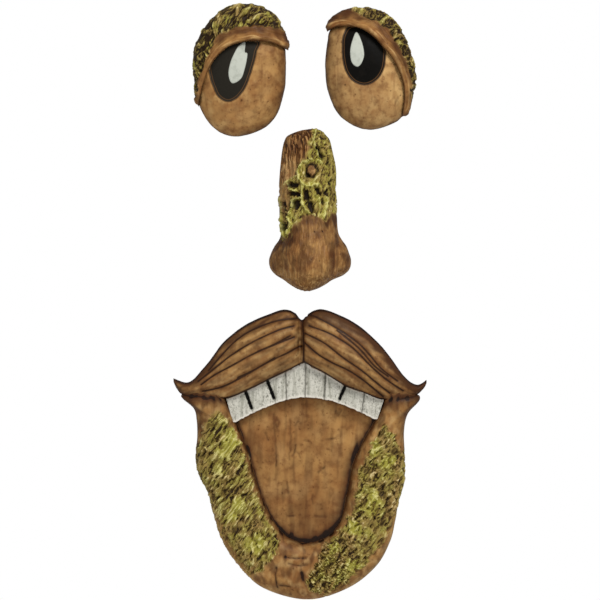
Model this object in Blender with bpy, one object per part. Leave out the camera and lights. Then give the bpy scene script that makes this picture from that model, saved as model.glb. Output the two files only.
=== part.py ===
"""Tree face sculpture: two eyes, a nose and a moustached mouth, each one resin casting with a flat back.

Metres, +Z up. The face looks along -Y, and every back lies in the plane Y = 0, against the trunk.
The origin is the middle of the mouth's back.
"""

import math

import bmesh
import bpy
import numpy as np
from mathutils import Vector, noise

MM = 0.001

# Places of the pieces on the trunk, (x, z) from the middle of the mouth's back
LEFT_EYE_AT = (-39.0 * MM, 243.8 * MM)
RIGHT_EYE_AT = (46.2 * MM, 247.0 * MM)
NOSE_AT = (5.2 * MM, 158.0 * MM)

# Eyes: an oval ball under a thick mossy lid
EYE_WIDTH = 59.2 * MM
EYE_HEIGHT = 74.1 * MM
EYE_RIM = 7.0 * MM
EYE_BULGE = 16.0 * MM
LID_BULGE = 20.0 * MM
LID_LIP_WIDTH = 4.0 * MM
LID_LIP_PROUD = 1.2 * MM
IRIS_SINK = 1.0 * MM

# Nose: a bark-covered bridge, a hanging tip and two wings
NOSE_LENGTH = 105.0 * MM
NOSE_WIDTH = 53.0 * MM
NOSE_DEPTH = 35.0 * MM
WING_DEPTH = 18.0 * MM
WING_RADIUS = 9.0 * MM

# Mouth: a bearded jaw round a sunk mouth, with a row of teeth under a moustache
MOUTH_WIDTH = 164.0 * MM
MOUTH_HEIGHT = 187.5 * MM
JAW_RIM = 7.5 * MM
JAW_BULGE = 12.0 * MM
# How much lower the jaw's frame is under the moustache, as a share of its bulge
JAW_TUCK = 0.35
FLOOR_THICKNESS = 7.0 * MM
TEETH_HEIGHT = 13.0 * MM
TOOTH_COUNT = 8
TOOTH_GAP = 1.3 * MM
TOOTH_GROOVE = 1.5 * MM
TOOTH_CHAMFER = 1.0 * MM
TEETH_BED = 2.0 * MM
MOUSTACHE_HEIGHT = 26.0 * MM
LOCK_GROOVE = 0.9 * MM
MOSS_LUMP = 1.4 * MM

# Blind holes in the backs, which take the head of a nail or screw
HANG_HOLE_DIAMETER = 10.0 * MM
HANG_HOLE_DEPTH = 9.0 * MM
EYE_HOLE_UP = 15.0 * MM
NOSE_HOLE_UP = 30.0 * MM
MOUTH_HOLE_UP = 70.0 * MM

# How far a shape runs past a cut, so that no two faces coincide
OVERRUN = 4.0 * MM

# Points round each relief and rings from its middle to its rim
BALL_MESH = (32, 9)
LID_MESH = (44, 11)
LIP_MESH = (48, 10)
JAW_MESH = (88, 14)
JAW_FLOOR_RINGS = 4
MOSS_PATCH = 9.0 * MM

# Every outline below is in shares of its piece's half width and half height. For an eye, +x is
# the side of the nose.
LEFT_BALL_OUTLINE = [
    (1.005, 0.0), (1.012, 0.18), (1.01, 0.36), (0.99, 0.52), (0.88, 0.72), (0.62, 0.9),
    (0.15, 1.0), (-0.36, 0.94), (-0.7, 0.72), (-0.89, 0.42), (-0.95, 0.1), (-0.94, -0.2),
    (-0.89, -0.45), (-0.78, -0.66), (-0.61, -0.84), (-0.4, -0.97), (-0.135, -1.03), (0.13, -1.01),
    (0.385, -0.95), (0.61, -0.845), (0.78, -0.69), (0.88, -0.51), (0.945, -0.335), (0.99, -0.17),
]
LEFT_LID_OUTLINE = [
    (1.07, 0.57), (1.045, 0.66), (0.96, 0.85), (0.79, 1.08), (0.51, 1.235), (0.17, 1.3),
    (-0.17, 1.26), (-0.46, 1.145), (-0.7, 0.97), (-0.87, 0.76), (-0.98, 0.57), (-1.02, 0.36),
    (-1.025, 0.16), (-1.015, -0.03), (-1.0, -0.19), (-0.975, -0.36), (-0.9, -0.5), (-0.6, -0.75),
    (0.0, -0.92), (0.6, -0.72), (0.93, 0.0),
]
LEFT_LID_EDGE = [
    (1.06, 0.47), (0.8, 0.565), (0.52, 0.62), (0.2, 0.625), (-0.1, 0.57), (-0.3, 0.49),
    (-0.5, 0.345), (-0.64, 0.18), (-0.75, -0.03), (-0.83, -0.23), (-0.87, -0.4), (-0.89, -0.54),
]
RIGHT_BALL_OUTLINE = [
    (1.008, 0.0), (1.012, 0.17), (0.99, 0.35), (0.955, 0.555), (0.925, 0.69), (0.8, 0.84),
    (0.45, 0.95), (0.0, 0.92), (-0.4, 0.72), (-0.68, 0.42), (-0.85, 0.08), (-0.88, -0.25),
    (-0.81, -0.55), (-0.7, -0.73), (-0.58, -0.84), (-0.375, -0.925), (-0.13, -0.99),
    (0.13, -0.995), (0.38, -0.93), (0.6, -0.827), (0.77, -0.68), (0.872, -0.506), (0.945, -0.335),
    (0.99, -0.17),
]
RIGHT_LID_OUTLINE = [
    (0.97, 0.74), (0.965, 0.85), (0.91, 0.93), (0.77, 1.02), (0.5, 1.11), (0.22, 1.145),
    (-0.03, 1.12), (-0.37, 1.005), (-0.6, 0.82), (-0.77, 0.57), (-0.88, 0.31), (-0.965, 0.08),
    (-0.98, -0.16), (-0.93, -0.37), (-0.86, -0.57), (-0.77, -0.74), (-0.5, -0.8), (0.0, -0.92),
    (0.6, -0.72), (0.93, 0.0),
]
RIGHT_LID_EDGE = [
    (0.99, 0.7), (0.78, 0.785), (0.54, 0.797), (0.33, 0.775), (0.14, 0.717), (-0.075, 0.587),
    (-0.26, 0.425), (-0.44, 0.25), (-0.585, 0.03), (-0.69, -0.2), (-0.713, -0.43), (-0.69, -0.62),
    (-0.66, -0.79),
]
# (x, z) of an iris's middle, its half width and half height, and its lean towards the nose in degrees
LEFT_IRIS = ((-0.16, 0.19), (0.48, 0.65), 17.0)
RIGHT_IRIS = ((0.14, 0.30), (0.49, 0.53), 6.0)

# (height, middle, half width, depth) of the nose's cross-sections from the top down, in shares of
# its half length, its half width and its depth
NOSE_SECTIONS = [
    (1.00, 0.14, 0.06, 0.16), (0.975, 0.06, 0.27, 0.30), (0.92, -0.02, 0.46, 0.40),
    (0.86, -0.02, 0.55, 0.46), (0.74, -0.02, 0.61, 0.51), (0.52, 0.0, 0.68, 0.55),
    (0.31, -0.01, 0.70, 0.57), (0.10, -0.01, 0.72, 0.60), (-0.12, 0.01, 0.70, 0.65),
    (-0.28, 0.04, 0.70, 0.72), (-0.37, 0.06, 0.77, 0.78), (-0.44, 0.06, 0.87, 0.84),
    (-0.53, 0.05, 0.95, 0.92), (-0.62, 0.05, 1.00, 0.98), (-0.72, 0.05, 0.97, 1.00),
    (-0.80, 0.04, 0.83, 0.97), (-0.86, 0.0, 0.60, 0.91), (-0.92, -0.01, 0.43, 0.81),
    (-0.97, -0.02, 0.25, 0.67), (-1.00, -0.02, 0.06, 0.50),
]
# Where the wings start and end down the nose, and how wide the ridge is between them
WING_SPAN = (-0.25, -0.90)
RIDGE_WIDTH = 0.70

JAW_OUTLINE = [
    (-0.94, 0.40), (-0.84, 0.32), (-0.815, 0.24), (-0.81, 0.12), (-0.825, -0.01), (-0.80, -0.14),
    (-0.73, -0.26), (-0.68, -0.42), (-0.62, -0.58), (-0.50, -0.75), (-0.29, -0.92), (0.06, -1.00),
    (0.38, -0.92), (0.60, -0.77), (0.71, -0.60), (0.75, -0.46), (0.78, -0.32), (0.825, -0.18),
    (0.825, 0.0), (0.82, 0.16), (0.85, 0.28), (0.945, 0.38), (0.90, 0.45), (0.74, 0.53),
    (0.50, 0.72), (0.0, 0.82), (-0.50, 0.72), (-0.74, 0.53), (-0.90, 0.46),
]
MOUTH_OUTLINE = [
    (-0.57, 0.39), (-0.50, 0.22), (-0.395, -0.02), (-0.33, -0.22), (-0.24, -0.41), (-0.12, -0.555),
    (0.04, -0.61), (0.21, -0.57), (0.32, -0.45), (0.375, -0.25), (0.42, -0.06), (0.51, 0.11),
    (0.60, 0.25), (0.64, 0.38), (0.45, 0.58), (0.0, 0.70), (-0.45, 0.58),
]
# Edges of the moustache and of the teeth, in (x, z) from left to right
MOUSTACHE_TOP = [
    (-1.0, 0.525), (-0.96, 0.51), (-0.9, 0.495), (-0.85, 0.51), (-0.79, 0.565), (-0.7, 0.66),
    (-0.6, 0.775), (-0.43, 0.893), (-0.24, 0.968), (-0.12, 0.998), (-0.04, 0.975), (0.015, 0.935),
    (0.07, 0.975), (0.16, 1.0), (0.28, 0.972), (0.45, 0.895), (0.61, 0.775), (0.72, 0.66),
    (0.8, 0.56), (0.86, 0.505), (0.92, 0.48), (0.96, 0.49), (1.0, 0.515),
]
MOUSTACHE_BOTTOM = [
    (-1.0, 0.505), (-0.965, 0.445), (-0.92, 0.412), (-0.8, 0.4), (-0.67, 0.39), (-0.57, 0.387),
    (-0.407, 0.444), (-0.223, 0.525), (-0.065, 0.59), (0.028, 0.628), (0.09, 0.605), (0.2, 0.556),
    (0.354, 0.473), (0.498, 0.426), (0.643, 0.378), (0.774, 0.38), (0.906, 0.404), (0.975, 0.455),
    (1.0, 0.495),
]
TEETH_BOTTOM = [
    (-0.505, 0.225), (-0.315, 0.31), (-0.12, 0.375), (0.035, 0.395), (0.23, 0.375),
    (0.42, 0.315), (0.585, 0.245),
]
# The teeth fan out from their middle by this factor towards their roots under the moustache
TEETH_FAN = 1.10
TEETH_MIDDLE = 0.035
# Crest and edge heights of the moustache at shares of the half width from the parting outwards
MOUSTACHE_CREST = [
    (0.0, 0.70), (0.03, 0.84), (0.10, 0.94), (0.25, 1.0), (0.48, 0.95), (0.70, 0.82),
    (0.86, 0.66), (1.0, 0.42),
]
MOUSTACHE_EDGE = [(0.0, 0.59), (0.10, 0.61), (0.48, 0.60), (0.75, 0.54), (1.0, 0.32)]
# Shares of the moustache's height where a groove parts two locks, which end at the edges
LOCK_ENDS = [0.0, 0.20, 0.42, 0.62, 0.80, 1.0]
JAW_CENTRE = (0.02, -0.09)


def shown_in(collection_name, *objects):
    """Puts objects in a collection, which is made if it isn't there."""
    collection = bpy.data.collections.get(collection_name)
    if collection is None:
        collection = bpy.data.collections.new(collection_name)
        bpy.context.scene.collection.children.link(collection)
    for obj in objects:
        collection.objects.link(obj)


def object_of(bm, name):
    """A mesh object with smooth faces and its normals pointing out."""
    bm.normal_update()
    bmesh.ops.recalc_face_normals(bm, faces=bm.faces)
    mesh = bpy.data.meshes.new(name)
    bm.to_mesh(mesh)
    bm.free()
    mesh.shade_smooth()
    mesh.set_sharp_from_angle(angle=math.radians(35))
    return bpy.data.objects.new(name, mesh)


def change(target, operand, operation):
    """Joins the operand to the target, or cuts it away, with a modifier. The operand isn't rendered."""
    shown_in("tree_face_helpers", operand)
    operand.hide_render = True
    operand.display_type = "WIRE"
    modifier = target.modifiers.new(f"{operation.lower()}_{operand.name}", "BOOLEAN")
    modifier.operation = operation
    modifier.object = operand
    modifier.solver = "EXACT"


def curve_through(points, count, closed=False):
    """Evenly shared points on a Catmull-Rom curve through the given ones."""
    given = [Vector(p) for p in points]
    spans = len(given) if closed else len(given) - 1
    found = []
    for k in range(count):
        place = k * spans / (count if closed else count - 1)
        i = min(int(place), spans - 1)
        t = place - i
        if closed:
            a, b, c, d = (given[(i + j) % len(given)] for j in (-1, 0, 1, 2))
        else:
            a, b, c, d = (given[min(max(i + j, 0), len(given) - 1)] for j in (-1, 0, 1, 2))
        found.append(
            0.5 * (2 * b + (c - a) * t + (2 * a - 5 * b + 4 * c - d) * t**2
                   + (3 * b - a - 3 * c + d) * t**3)
        )
    return found


def height_along(points, x):
    """z of the smooth curve through (x, z) points, whose x rises."""
    fine = curve_through(points, 12 * len(points))
    return float(np.interp(x, [p.x for p in fine], [p.y for p in fine]))


def scaled(points, half_width, half_height):
    return [(x * half_width, z * half_height) for x, z in points]


def reach_of(outline, centre):
    """How far a star-shaped outline lies from the centre, as a function of the angle."""
    fine = curve_through(outline, 40 * len(outline), closed=True)
    angles = [math.atan2(p.y - centre[1], p.x - centre[0]) for p in fine]
    reaches = [math.hypot(p.x - centre[0], p.y - centre[1]) for p in fine]
    order = np.argsort(angles)
    return lambda angle: float(
        np.interp(angle, np.array(angles)[order], np.array(reaches)[order], period=2 * math.pi)
    )


def relief(name, centre, back_y, segments, rings, place):
    """A sphere's half spread over an outline, with straight sides from its rim to a flat end at
    back_y. place(step, angle) gives the reach from the centre and the y of a point, where step
    rises evenly from 0 at the centre to 1 at the rim."""
    bm = bmesh.new()
    bmesh.ops.create_uvsphere(bm, u_segments=segments, v_segments=2 * rings, radius=1.0)
    below = [v for v in bm.verts if v.co.z < -1e-4]
    bmesh.ops.delete(bm, geom=below, context="VERTS")
    for v in bm.verts:
        step = math.asin(min(math.hypot(v.co.x, v.co.y), 1.0)) / (math.pi / 2)
        angle = math.atan2(v.co.y, v.co.x)
        out, y = place(step, angle)
        v.co = (centre[0] + out * math.cos(angle), y, centre[1] + out * math.sin(angle))
    rim = [e for e in bm.edges if e.is_boundary]
    sides = bmesh.ops.extrude_edge_only(bm, edges=rim)["geom"]
    for v in (g for g in sides if isinstance(g, bmesh.types.BMVert)):
        v.co.y = back_y
    bmesh.ops.holes_fill(bm, edges=[e for e in bm.edges if e.is_boundary])
    return object_of(bm, name)


def dome(name, reach, centre, rim_y, apex_y, back_y, segments, rings, lump=0.0):
    """A relief that bulges from rim_y to apex_y, with moss of the given height towards its rim."""
    def place(step, angle):
        share = math.sin(step * math.pi / 2)
        out = reach(angle) * share
        y = rim_y + (apex_y - rim_y) * math.cos(step * math.pi / 2)
        x, z = centre[0] + out * math.cos(angle), centre[1] + out * math.sin(angle)
        return out, y - lump * share * (1 - share**8) * moss(x, z)

    return relief(name, centre, back_y, segments, rings, place)


def loft(name, sections):
    """A closed solid through rings of points, with flat ends."""
    bm = bmesh.new()
    rows = [[bm.verts.new(p) for p in ring] for ring in sections]
    for near, far in zip(rows, rows[1:]):
        for k in range(len(near)):
            n = (k + 1) % len(near)
            bm.faces.new((near[k], near[n], far[n], far[k]))
    bm.faces.new(rows[0])
    bm.faces.new(rows[-1])
    return object_of(bm, name)


def prism(name, outline, front_y, back_y):
    """A flat outline of (x, z) points drawn out between two depths."""
    return loft(name, [[(x, y, z) for x, z in outline] for y in (front_y, back_y)])


def cut_back(target, x, z, hole_up):
    """Cuts the target flat at Y = 0, and drills its hanging hole."""
    span = MOUTH_HEIGHT + MOUTH_WIDTH
    bm = bmesh.new()
    bmesh.ops.create_cube(bm, size=1.0)
    bmesh.ops.scale(bm, vec=(span, 4 * OVERRUN, span), verts=bm.verts)
    bmesh.ops.translate(bm, vec=(x, 2 * OVERRUN, z), verts=bm.verts)
    change(target, object_of(bm, target.name + "_back_cut"), "DIFFERENCE")
    bm = bmesh.new()
    bmesh.ops.create_cone(
        bm, cap_ends=True, segments=24, radius1=HANG_HOLE_DIAMETER / 2,
        radius2=HANG_HOLE_DIAMETER / 2, depth=HANG_HOLE_DEPTH + OVERRUN,
    )
    for v in bm.verts:
        v.co = (x + v.co.x, (OVERRUN - HANG_HOLE_DEPTH) / 2 - v.co.z, z + hole_up + v.co.y)
    change(target, object_of(bm, target.name + "_hang_hole"), "DIFFERENCE")


def resin(name, colour, roughness):
    material = bpy.data.materials.new(name)
    material.use_nodes = True
    shader = material.node_tree.nodes["Principled BSDF"]
    shader.inputs["Base Color"].default_value = (*colour, 1.0)
    shader.inputs["Roughness"].default_value = roughness
    shader.inputs["Metallic"].default_value = 0.0
    return material


def make_eye(name, at, side, ball_outline, lid_outline, lid_edge, iris):
    """One eye. side is 1 where the nose lies towards +X, and -1 where it lies towards -X."""
    half_width, half_height = EYE_WIDTH / 2, EYE_HEIGHT / 2
    x0, z0 = at

    def placed(points):
        return [(x0 + side * x, z0 + z) for x, z in scaled(points, half_width, half_height)]

    ball_reach = reach_of(placed(ball_outline), at)
    eye = dome(name, ball_reach, at, -EYE_RIM, -EYE_RIM - EYE_BULGE, OVERRUN, *BALL_MESH)

    # The iris is sunk, and its floor follows a slightly smaller ball
    (iris_x, iris_z), (iris_w, iris_h), lean = iris
    lean = math.radians(lean)
    rim = []
    for k in range(24):
        a = 2 * math.pi * k / 24
        across, up = iris_w * half_width * math.cos(a), iris_h * half_height * math.sin(a)
        x = iris_x * half_width + across * math.cos(lean) + up * math.sin(lean)
        z = iris_z * half_height - across * math.sin(lean) + up * math.cos(lean)
        rim.append((x0 + side * x, z0 + z))
    iris_cutter = prism(name + "_iris", rim, -2 * EYE_BULGE, -EYE_RIM)
    floor = dome(
        name + "_iris_floor", ball_reach, at, -EYE_RIM + IRIS_SINK,
        -EYE_RIM - EYE_BULGE + IRIS_SINK, 2 * OVERRUN, *BALL_MESH,
    )
    change(iris_cutter, floor, "DIFFERENCE")
    change(eye, iris_cutter, "DIFFERENCE")

    # The lid is a larger dome with a raised lip along its edge, and without the part below it
    lid_reach = reach_of(placed(lid_outline), at)
    lid = dome(
        name + "_lid", lid_reach, at, -EYE_RIM, -EYE_RIM - LID_BULGE, 1.5 * OVERRUN, *LID_MESH,
        lump=MOSS_LUMP,
    )
    lip = dome(
        name + "_lip", lid_reach, at, -EYE_RIM + LID_LIP_PROUD,
        -EYE_RIM - LID_BULGE - LID_LIP_PROUD, OVERRUN, *LIP_MESH,
    )
    edge = curve_through(placed(lid_edge), 22)
    behind = []
    for k, point in enumerate(edge):
        along = edge[min(k + 1, len(edge) - 1)] - edge[max(k - 1, 0)]
        behind.append(point + LID_LIP_WIDTH * side * Vector((along.y, -along.x)).normalized())
    far = 2 * EYE_HEIGHT
    above = [(x0 - side * far, behind[-1].y), (x0 - side * far, z0 + far)]
    above += [(x0 + side * far, z0 + far), (x0 + side * far, behind[0].y)]
    change(lip, prism(name + "_lip_end", [tuple(p) for p in behind] + above, -far, far), "DIFFERENCE")
    change(lid, lip, "UNION")
    below = [(edge[-1].x, z0 - far), (x0 + side * far, z0 - far), (x0 + side * far, edge[0].y)]
    change(lid, prism(name + "_lid_opening", [tuple(p) for p in edge] + below, -far, far), "DIFFERENCE")
    change(eye, lid, "UNION")

    cut_back(eye, x0, z0, EYE_HOLE_UP)
    return eye


def moss(x, z):
    """How thick moss lies at a place of the front, about 0 to 1."""
    return 0.5 + noise.noise(Vector((x, 0.0, z)) / MOSS_PATCH)


def make_nose():
    half_width, half_length = NOSE_WIDTH / 2, NOSE_LENGTH / 2
    x0, z0 = NOSE_AT
    steps = 20
    sections = []
    for height, middle, width, depth in curve_through(NOSE_SECTIONS, 2 * len(NOSE_SECTIONS) - 1):
        x, z = x0 + middle * half_width, z0 + height * half_length
        wide, deep = width * half_width, depth * NOSE_DEPTH
        down = (height - WING_SPAN[0]) / (WING_SPAN[1] - WING_SPAN[0])
        wing = WING_DEPTH * math.sin(math.pi * min(max(down, 0.0), 1.0)) ** 0.5
        ridge = min(wide, RIDGE_WIDTH * half_width)
        ring = [(x - wide, OVERRUN, z)]
        for k in range(steps + 1):
            across = -wide * math.cos(math.pi * k / steps)
            crest = deep * max(1 - (across / ridge) ** 2, 0.0) ** 0.45
            off = (abs(across) - wide + WING_RADIUS) / WING_RADIUS
            lobe = wing * max(1 - off**2, 0.0) ** 0.5
            ring.append((x + across, -((crest**3 + lobe**3) ** (1 / 3)), z))
        ring.append((x + wide, OVERRUN, z))
        sections.append(ring)
    nose = loft("nose", sections)
    cut_back(nose, x0, z0, NOSE_HOLE_UP)
    return nose


def make_moustache(half_width, half_height):
    """Both halves in one loft, with fluted locks that run from the parting to the curled tips."""
    top = scaled(MOUSTACHE_TOP, half_width, half_height)
    bottom = scaled(MOUSTACHE_BOTTOM, half_width, half_height)
    shares = []
    for start, end in zip(LOCK_ENDS, LOCK_ENDS[1:]):
        shares += [start + (end - start) * q for q in (0.0, 0.22, 0.5, 0.78)]
    shares.append(1.0)
    grooves = LOCK_ENDS[1:-1]
    sections = []
    for k in range(45):
        place = math.sin(math.pi / 2 * (2 * k / 44 - 1))
        if abs(place) < 0.99:
            place = math.copysign(abs(2 * k / 44 - 1) ** 1.15, place)
        x = 0.997 * place * half_width
        low, high = height_along(bottom, x), height_along(top, x)
        crest = MOUSTACHE_HEIGHT * height_along(MOUSTACHE_CREST, abs(place))
        edge = MOUSTACHE_HEIGHT * height_along(MOUSTACHE_EDGE, abs(place))
        ring = [(x, OVERRUN / 2, low)]
        for share in shares:
            lift = edge + (crest - edge) * math.sin(math.pi * share) ** 0.6
            if share in grooves:
                lift -= LOCK_GROOVE * (1 - abs(place) ** 4)
            ring.append((x, -lift, low + (high - low) * share))
        ring.append((x, OVERRUN / 2, high))
        sections.append(ring)
    return loft("mouth_moustache", sections)


def make_teeth(half_width, half_height):
    """One row of teeth, parted by grooves, that stands on the floor of the mouth. The end teeth
    are bedded in its walls."""
    bottom = scaled(TEETH_BOTTOM, half_width, half_height)
    roots = scaled(MOUSTACHE_BOTTOM, half_width, half_height)
    middle = TEETH_MIDDLE * half_width
    start, end = bottom[0][0] - TEETH_BED, bottom[-1][0] + TEETH_BED
    pitch = (end - start) / TOOTH_COUNT
    gap = TOOTH_GAP / 2
    cuts = [(start, False)]
    for k in range(TOOTH_COUNT):
        left = start + k * pitch
        cuts += [
            (left + gap, False), (left + pitch / 2, False), (left + pitch - gap, False),
            (left + pitch, k < TOOTH_COUNT - 1),
        ]
    sections = []
    for x, groove in cuts:
        front = -TEETH_HEIGHT + (TOOTH_GROOVE if groove else 0.0)
        low = height_along(bottom, x)
        root_x = middle + (x - middle) * TEETH_FAN
        high = height_along(roots, root_x) + 2 * LOCK_GROOVE
        sections.append([
            (root_x, -FLOOR_THICKNESS / 3, high), (root_x, front, high),
            (x, front, low + TOOTH_CHAMFER), (x, front + TOOTH_CHAMFER, low),
            (x, -FLOOR_THICKNESS / 3, low),
        ])
    return loft("mouth_teeth", sections)


def make_jaw(half_width, half_height):
    """The floor of the mouth, and the rounded beard that frames it."""
    centre = (JAW_CENTRE[0] * half_width, JAW_CENTRE[1] * half_height)
    outer = reach_of(scaled(JAW_OUTLINE, half_width, half_height), centre)
    inner = reach_of(scaled(MOUTH_OUTLINE, half_width, half_height), centre)
    segments, rings = JAW_MESH

    def place(step, angle):
        near, far = inner(angle), outer(angle)
        past_floor = (step * rings - JAW_FLOOR_RINGS) / (rings - JAW_FLOOR_RINGS)
        if past_floor <= 1e-6:
            return near * step * rings / JAW_FLOOR_RINGS, -FLOOR_THICKNESS
        share = (1 - math.cos(math.pi * past_floor)) / 2
        out = near + (far - near) * share
        base = FLOOR_THICKNESS + (JAW_RIM - FLOOR_THICKNESS) * share
        swell = max(1 - abs(2 * share - 1) ** 2.6, 0.0) ** 0.5
        swell *= 1 - JAW_TUCK * max(math.sin(angle), 0.0) ** 4
        x, z = centre[0] + out * math.cos(angle), centre[1] + out * math.sin(angle)
        lump = MOSS_LUMP * moss(x, z) * swell
        return out, -base - (JAW_BULGE - MOSS_LUMP / 2) * swell - lump

    return relief("mouth", centre, OVERRUN, segments, rings, place)


def make_mouth():
    half_width, half_height = MOUTH_WIDTH / 2, MOUTH_HEIGHT / 2
    mouth = make_jaw(half_width, half_height)
    change(mouth, make_teeth(half_width, half_height), "UNION")
    change(mouth, make_moustache(half_width, half_height), "UNION")
    cut_back(mouth, 0.0, 0.0, MOUTH_HOLE_UP)
    return mouth


def main():
    for obj in list(bpy.data.objects):
        bpy.data.objects.remove(obj)
    pieces = {
        make_eye(
            "left_eye", LEFT_EYE_AT, 1, LEFT_BALL_OUTLINE, LEFT_LID_OUTLINE, LEFT_LID_EDGE, LEFT_IRIS,
        ): (
            (0.30, 0.16, 0.07), 0.55,
        ),
        make_eye(
            "right_eye", RIGHT_EYE_AT, -1, RIGHT_BALL_OUTLINE, RIGHT_LID_OUTLINE, RIGHT_LID_EDGE,
            RIGHT_IRIS,
        ): (
            (0.30, 0.16, 0.07), 0.55,
        ),
        make_nose(): ((0.25, 0.12, 0.06), 0.60),
        make_mouth(): ((0.27, 0.14, 0.06), 0.55),
    }
    for piece, (colour, roughness) in pieces.items():
        piece.data.materials.append(resin(piece.name + "_resin", colour, roughness))
        shown_in("tree_face_sculpture", piece)


main()
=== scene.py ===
import itertools
import math

import bmesh
import bpy
import numpy as np
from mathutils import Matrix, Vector


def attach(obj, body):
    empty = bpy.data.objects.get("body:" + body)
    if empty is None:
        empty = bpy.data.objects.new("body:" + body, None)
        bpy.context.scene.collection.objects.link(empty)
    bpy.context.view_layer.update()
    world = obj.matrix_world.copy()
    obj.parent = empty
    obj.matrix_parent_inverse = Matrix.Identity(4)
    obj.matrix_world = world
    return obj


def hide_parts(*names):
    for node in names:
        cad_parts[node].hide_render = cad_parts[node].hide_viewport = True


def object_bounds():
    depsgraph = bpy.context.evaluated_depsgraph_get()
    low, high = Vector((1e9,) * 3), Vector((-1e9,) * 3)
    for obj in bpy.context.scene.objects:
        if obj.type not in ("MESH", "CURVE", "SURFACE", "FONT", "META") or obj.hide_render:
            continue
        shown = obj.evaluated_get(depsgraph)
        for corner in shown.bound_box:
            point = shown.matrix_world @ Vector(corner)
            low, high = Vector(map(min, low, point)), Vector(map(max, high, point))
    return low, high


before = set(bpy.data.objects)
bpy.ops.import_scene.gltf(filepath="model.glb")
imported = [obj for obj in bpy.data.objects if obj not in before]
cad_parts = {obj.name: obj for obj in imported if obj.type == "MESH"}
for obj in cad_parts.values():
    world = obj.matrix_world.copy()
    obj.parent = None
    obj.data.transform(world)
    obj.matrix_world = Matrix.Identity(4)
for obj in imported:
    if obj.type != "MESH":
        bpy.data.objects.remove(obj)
CAD_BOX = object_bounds()
MM = 0.001

# ---------------------------------------------------------------- sizes, in millimetres
LEFT_EYE_AT = (-39.0, 243.8)
RIGHT_EYE_AT = (46.2, 247.0)
NOSE_AT = (5.2, 158.0)
EYE_HALF = (29.6, 37.05)
EYE_RIM = 7.0
EYE_BULGE = 16.0
LID_BULGE = 20.0
NOSE_HALF = (26.5, 52.5)
NOSE_DEPTH = 35.0
WING_DEPTH = 18.0
WING_RADIUS = 9.0
MOUTH_HALF = (82.0, 93.75)
JAW_RIM = 7.5
JAW_BULGE = 12.0
JAW_TUCK = 0.35
FLOOR_SINK = 1.2
FLOOR_THICKNESS = 7.0
TEETH_HEIGHT = 13.0
MOUSTACHE_HEIGHT = 26.0
MOSS_LUMP = 1.4
MOSS_PATCH = 9.0
# Radius and depth of the hanging holes, and how far each lies above the middle of its back
HANG_HOLE = (5.0, 9.0)
HANG_UP = {"eye": 15.0, "nose": 30.0, "mouth": 70.0}
# How far the forms reach behind the back before they are cut flat
BEHIND = 4.0
# How far from any line or painted edge counts as clear of it
FAR = 99.0
CLEAR = 9.0

# Rows and columns of the grids that carry the relief. The jaw has columns in sight and hidden ones.
BALL_GRID = (100, 340)
LID_GRID = (108, 480)
NOSE_GRID = (260, 200)
MOUSTACHE_GRID = (380, 62)
TEETH_GRID = (280, 26)
FLOOR_GRID = (132, 122)
JAW_GRID = (68, (510, 50))

# What each part carries where nothing is painted: distances in millimetres, and shares. The wash is a dark wash
# that also paints shadow, and the shade is random tone with painted shade
PLAIN = {
    "moss": 0.0, "crest": 0.6, "wash_and_shadow": 0.0, "tuft": 0.0, "iris": -CLEAR, "glint": -CLEAR, "tooth": 0.0,
    "bright": 0.0, "tone_and_shade": 0.0, "cut": CLEAR,
}

# ---------------------------------------------------------------- outlines, in shares of half sizes
LEFT_BALL_OUTLINE = [
    (1.005, 0), (1.012, 0.18), (1.01, 0.36), (0.99, 0.52), (0.88, 0.72), (0.62, 0.9),
    (0.15, 1), (-0.36, 0.94), (-0.7, 0.72), (-0.89, 0.42), (-0.95, 0.1), (-0.94, -0.2),
    (-0.89, -0.45), (-0.78, -0.66), (-0.61, -0.84), (-0.4, -0.97), (-0.135, -1.03), (0.13, -1.01),
    (0.385, -0.95), (0.61, -0.845), (0.78, -0.69), (0.88, -0.51), (0.945, -0.335), (0.99, -0.17),
]
LEFT_LID_OUTLINE = [
    (1.07, 0.57), (1.045, 0.66), (0.96, 0.85), (0.79, 1.08), (0.51, 1.235), (0.17, 1.3),
    (-0.17, 1.26), (-0.46, 1.145), (-0.7, 0.97), (-0.87, 0.76), (-0.98, 0.57), (-1.02, 0.36),
    (-1.025, 0.16), (-1.015, -0.03), (-1, -0.19), (-0.975, -0.36), (-0.9, -0.5), (-0.6, -0.75),
    (0, -0.92), (0.6, -0.72), (0.93, 0),
]
LEFT_LID_EDGE = [
    (1.06, 0.47), (0.8, 0.565), (0.52, 0.62), (0.2, 0.625), (-0.1, 0.57), (-0.3, 0.49),
    (-0.5, 0.345), (-0.64, 0.18), (-0.75, -0.03), (-0.83, -0.23), (-0.87, -0.4), (-0.89, -0.54),
]
RIGHT_BALL_OUTLINE = [
    (1.008, 0), (1.012, 0.17), (0.99, 0.35), (0.955, 0.555), (0.925, 0.69), (0.8, 0.84),
    (0.45, 0.95), (0, 0.92), (-0.4, 0.72), (-0.68, 0.42), (-0.85, 0.08), (-0.88, -0.25),
    (-0.81, -0.55), (-0.7, -0.73), (-0.58, -0.84), (-0.375, -0.925), (-0.13, -0.99),
    (0.13, -0.995), (0.38, -0.93), (0.6, -0.827), (0.77, -0.68), (0.872, -0.506), (0.945, -0.335),
    (0.99, -0.17),
]
RIGHT_LID_OUTLINE = [
    (0.97, 0.74), (0.965, 0.85), (0.91, 0.93), (0.77, 1.02), (0.5, 1.11), (0.22, 1.145),
    (-0.03, 1.12), (-0.37, 1.005), (-0.6, 0.82), (-0.77, 0.57), (-0.88, 0.31), (-0.965, 0.08),
    (-0.98, -0.16), (-0.93, -0.37), (-0.86, -0.57), (-0.77, -0.74), (-0.5, -0.8), (0, -0.92),
    (0.6, -0.72), (0.93, 0),
]
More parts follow.
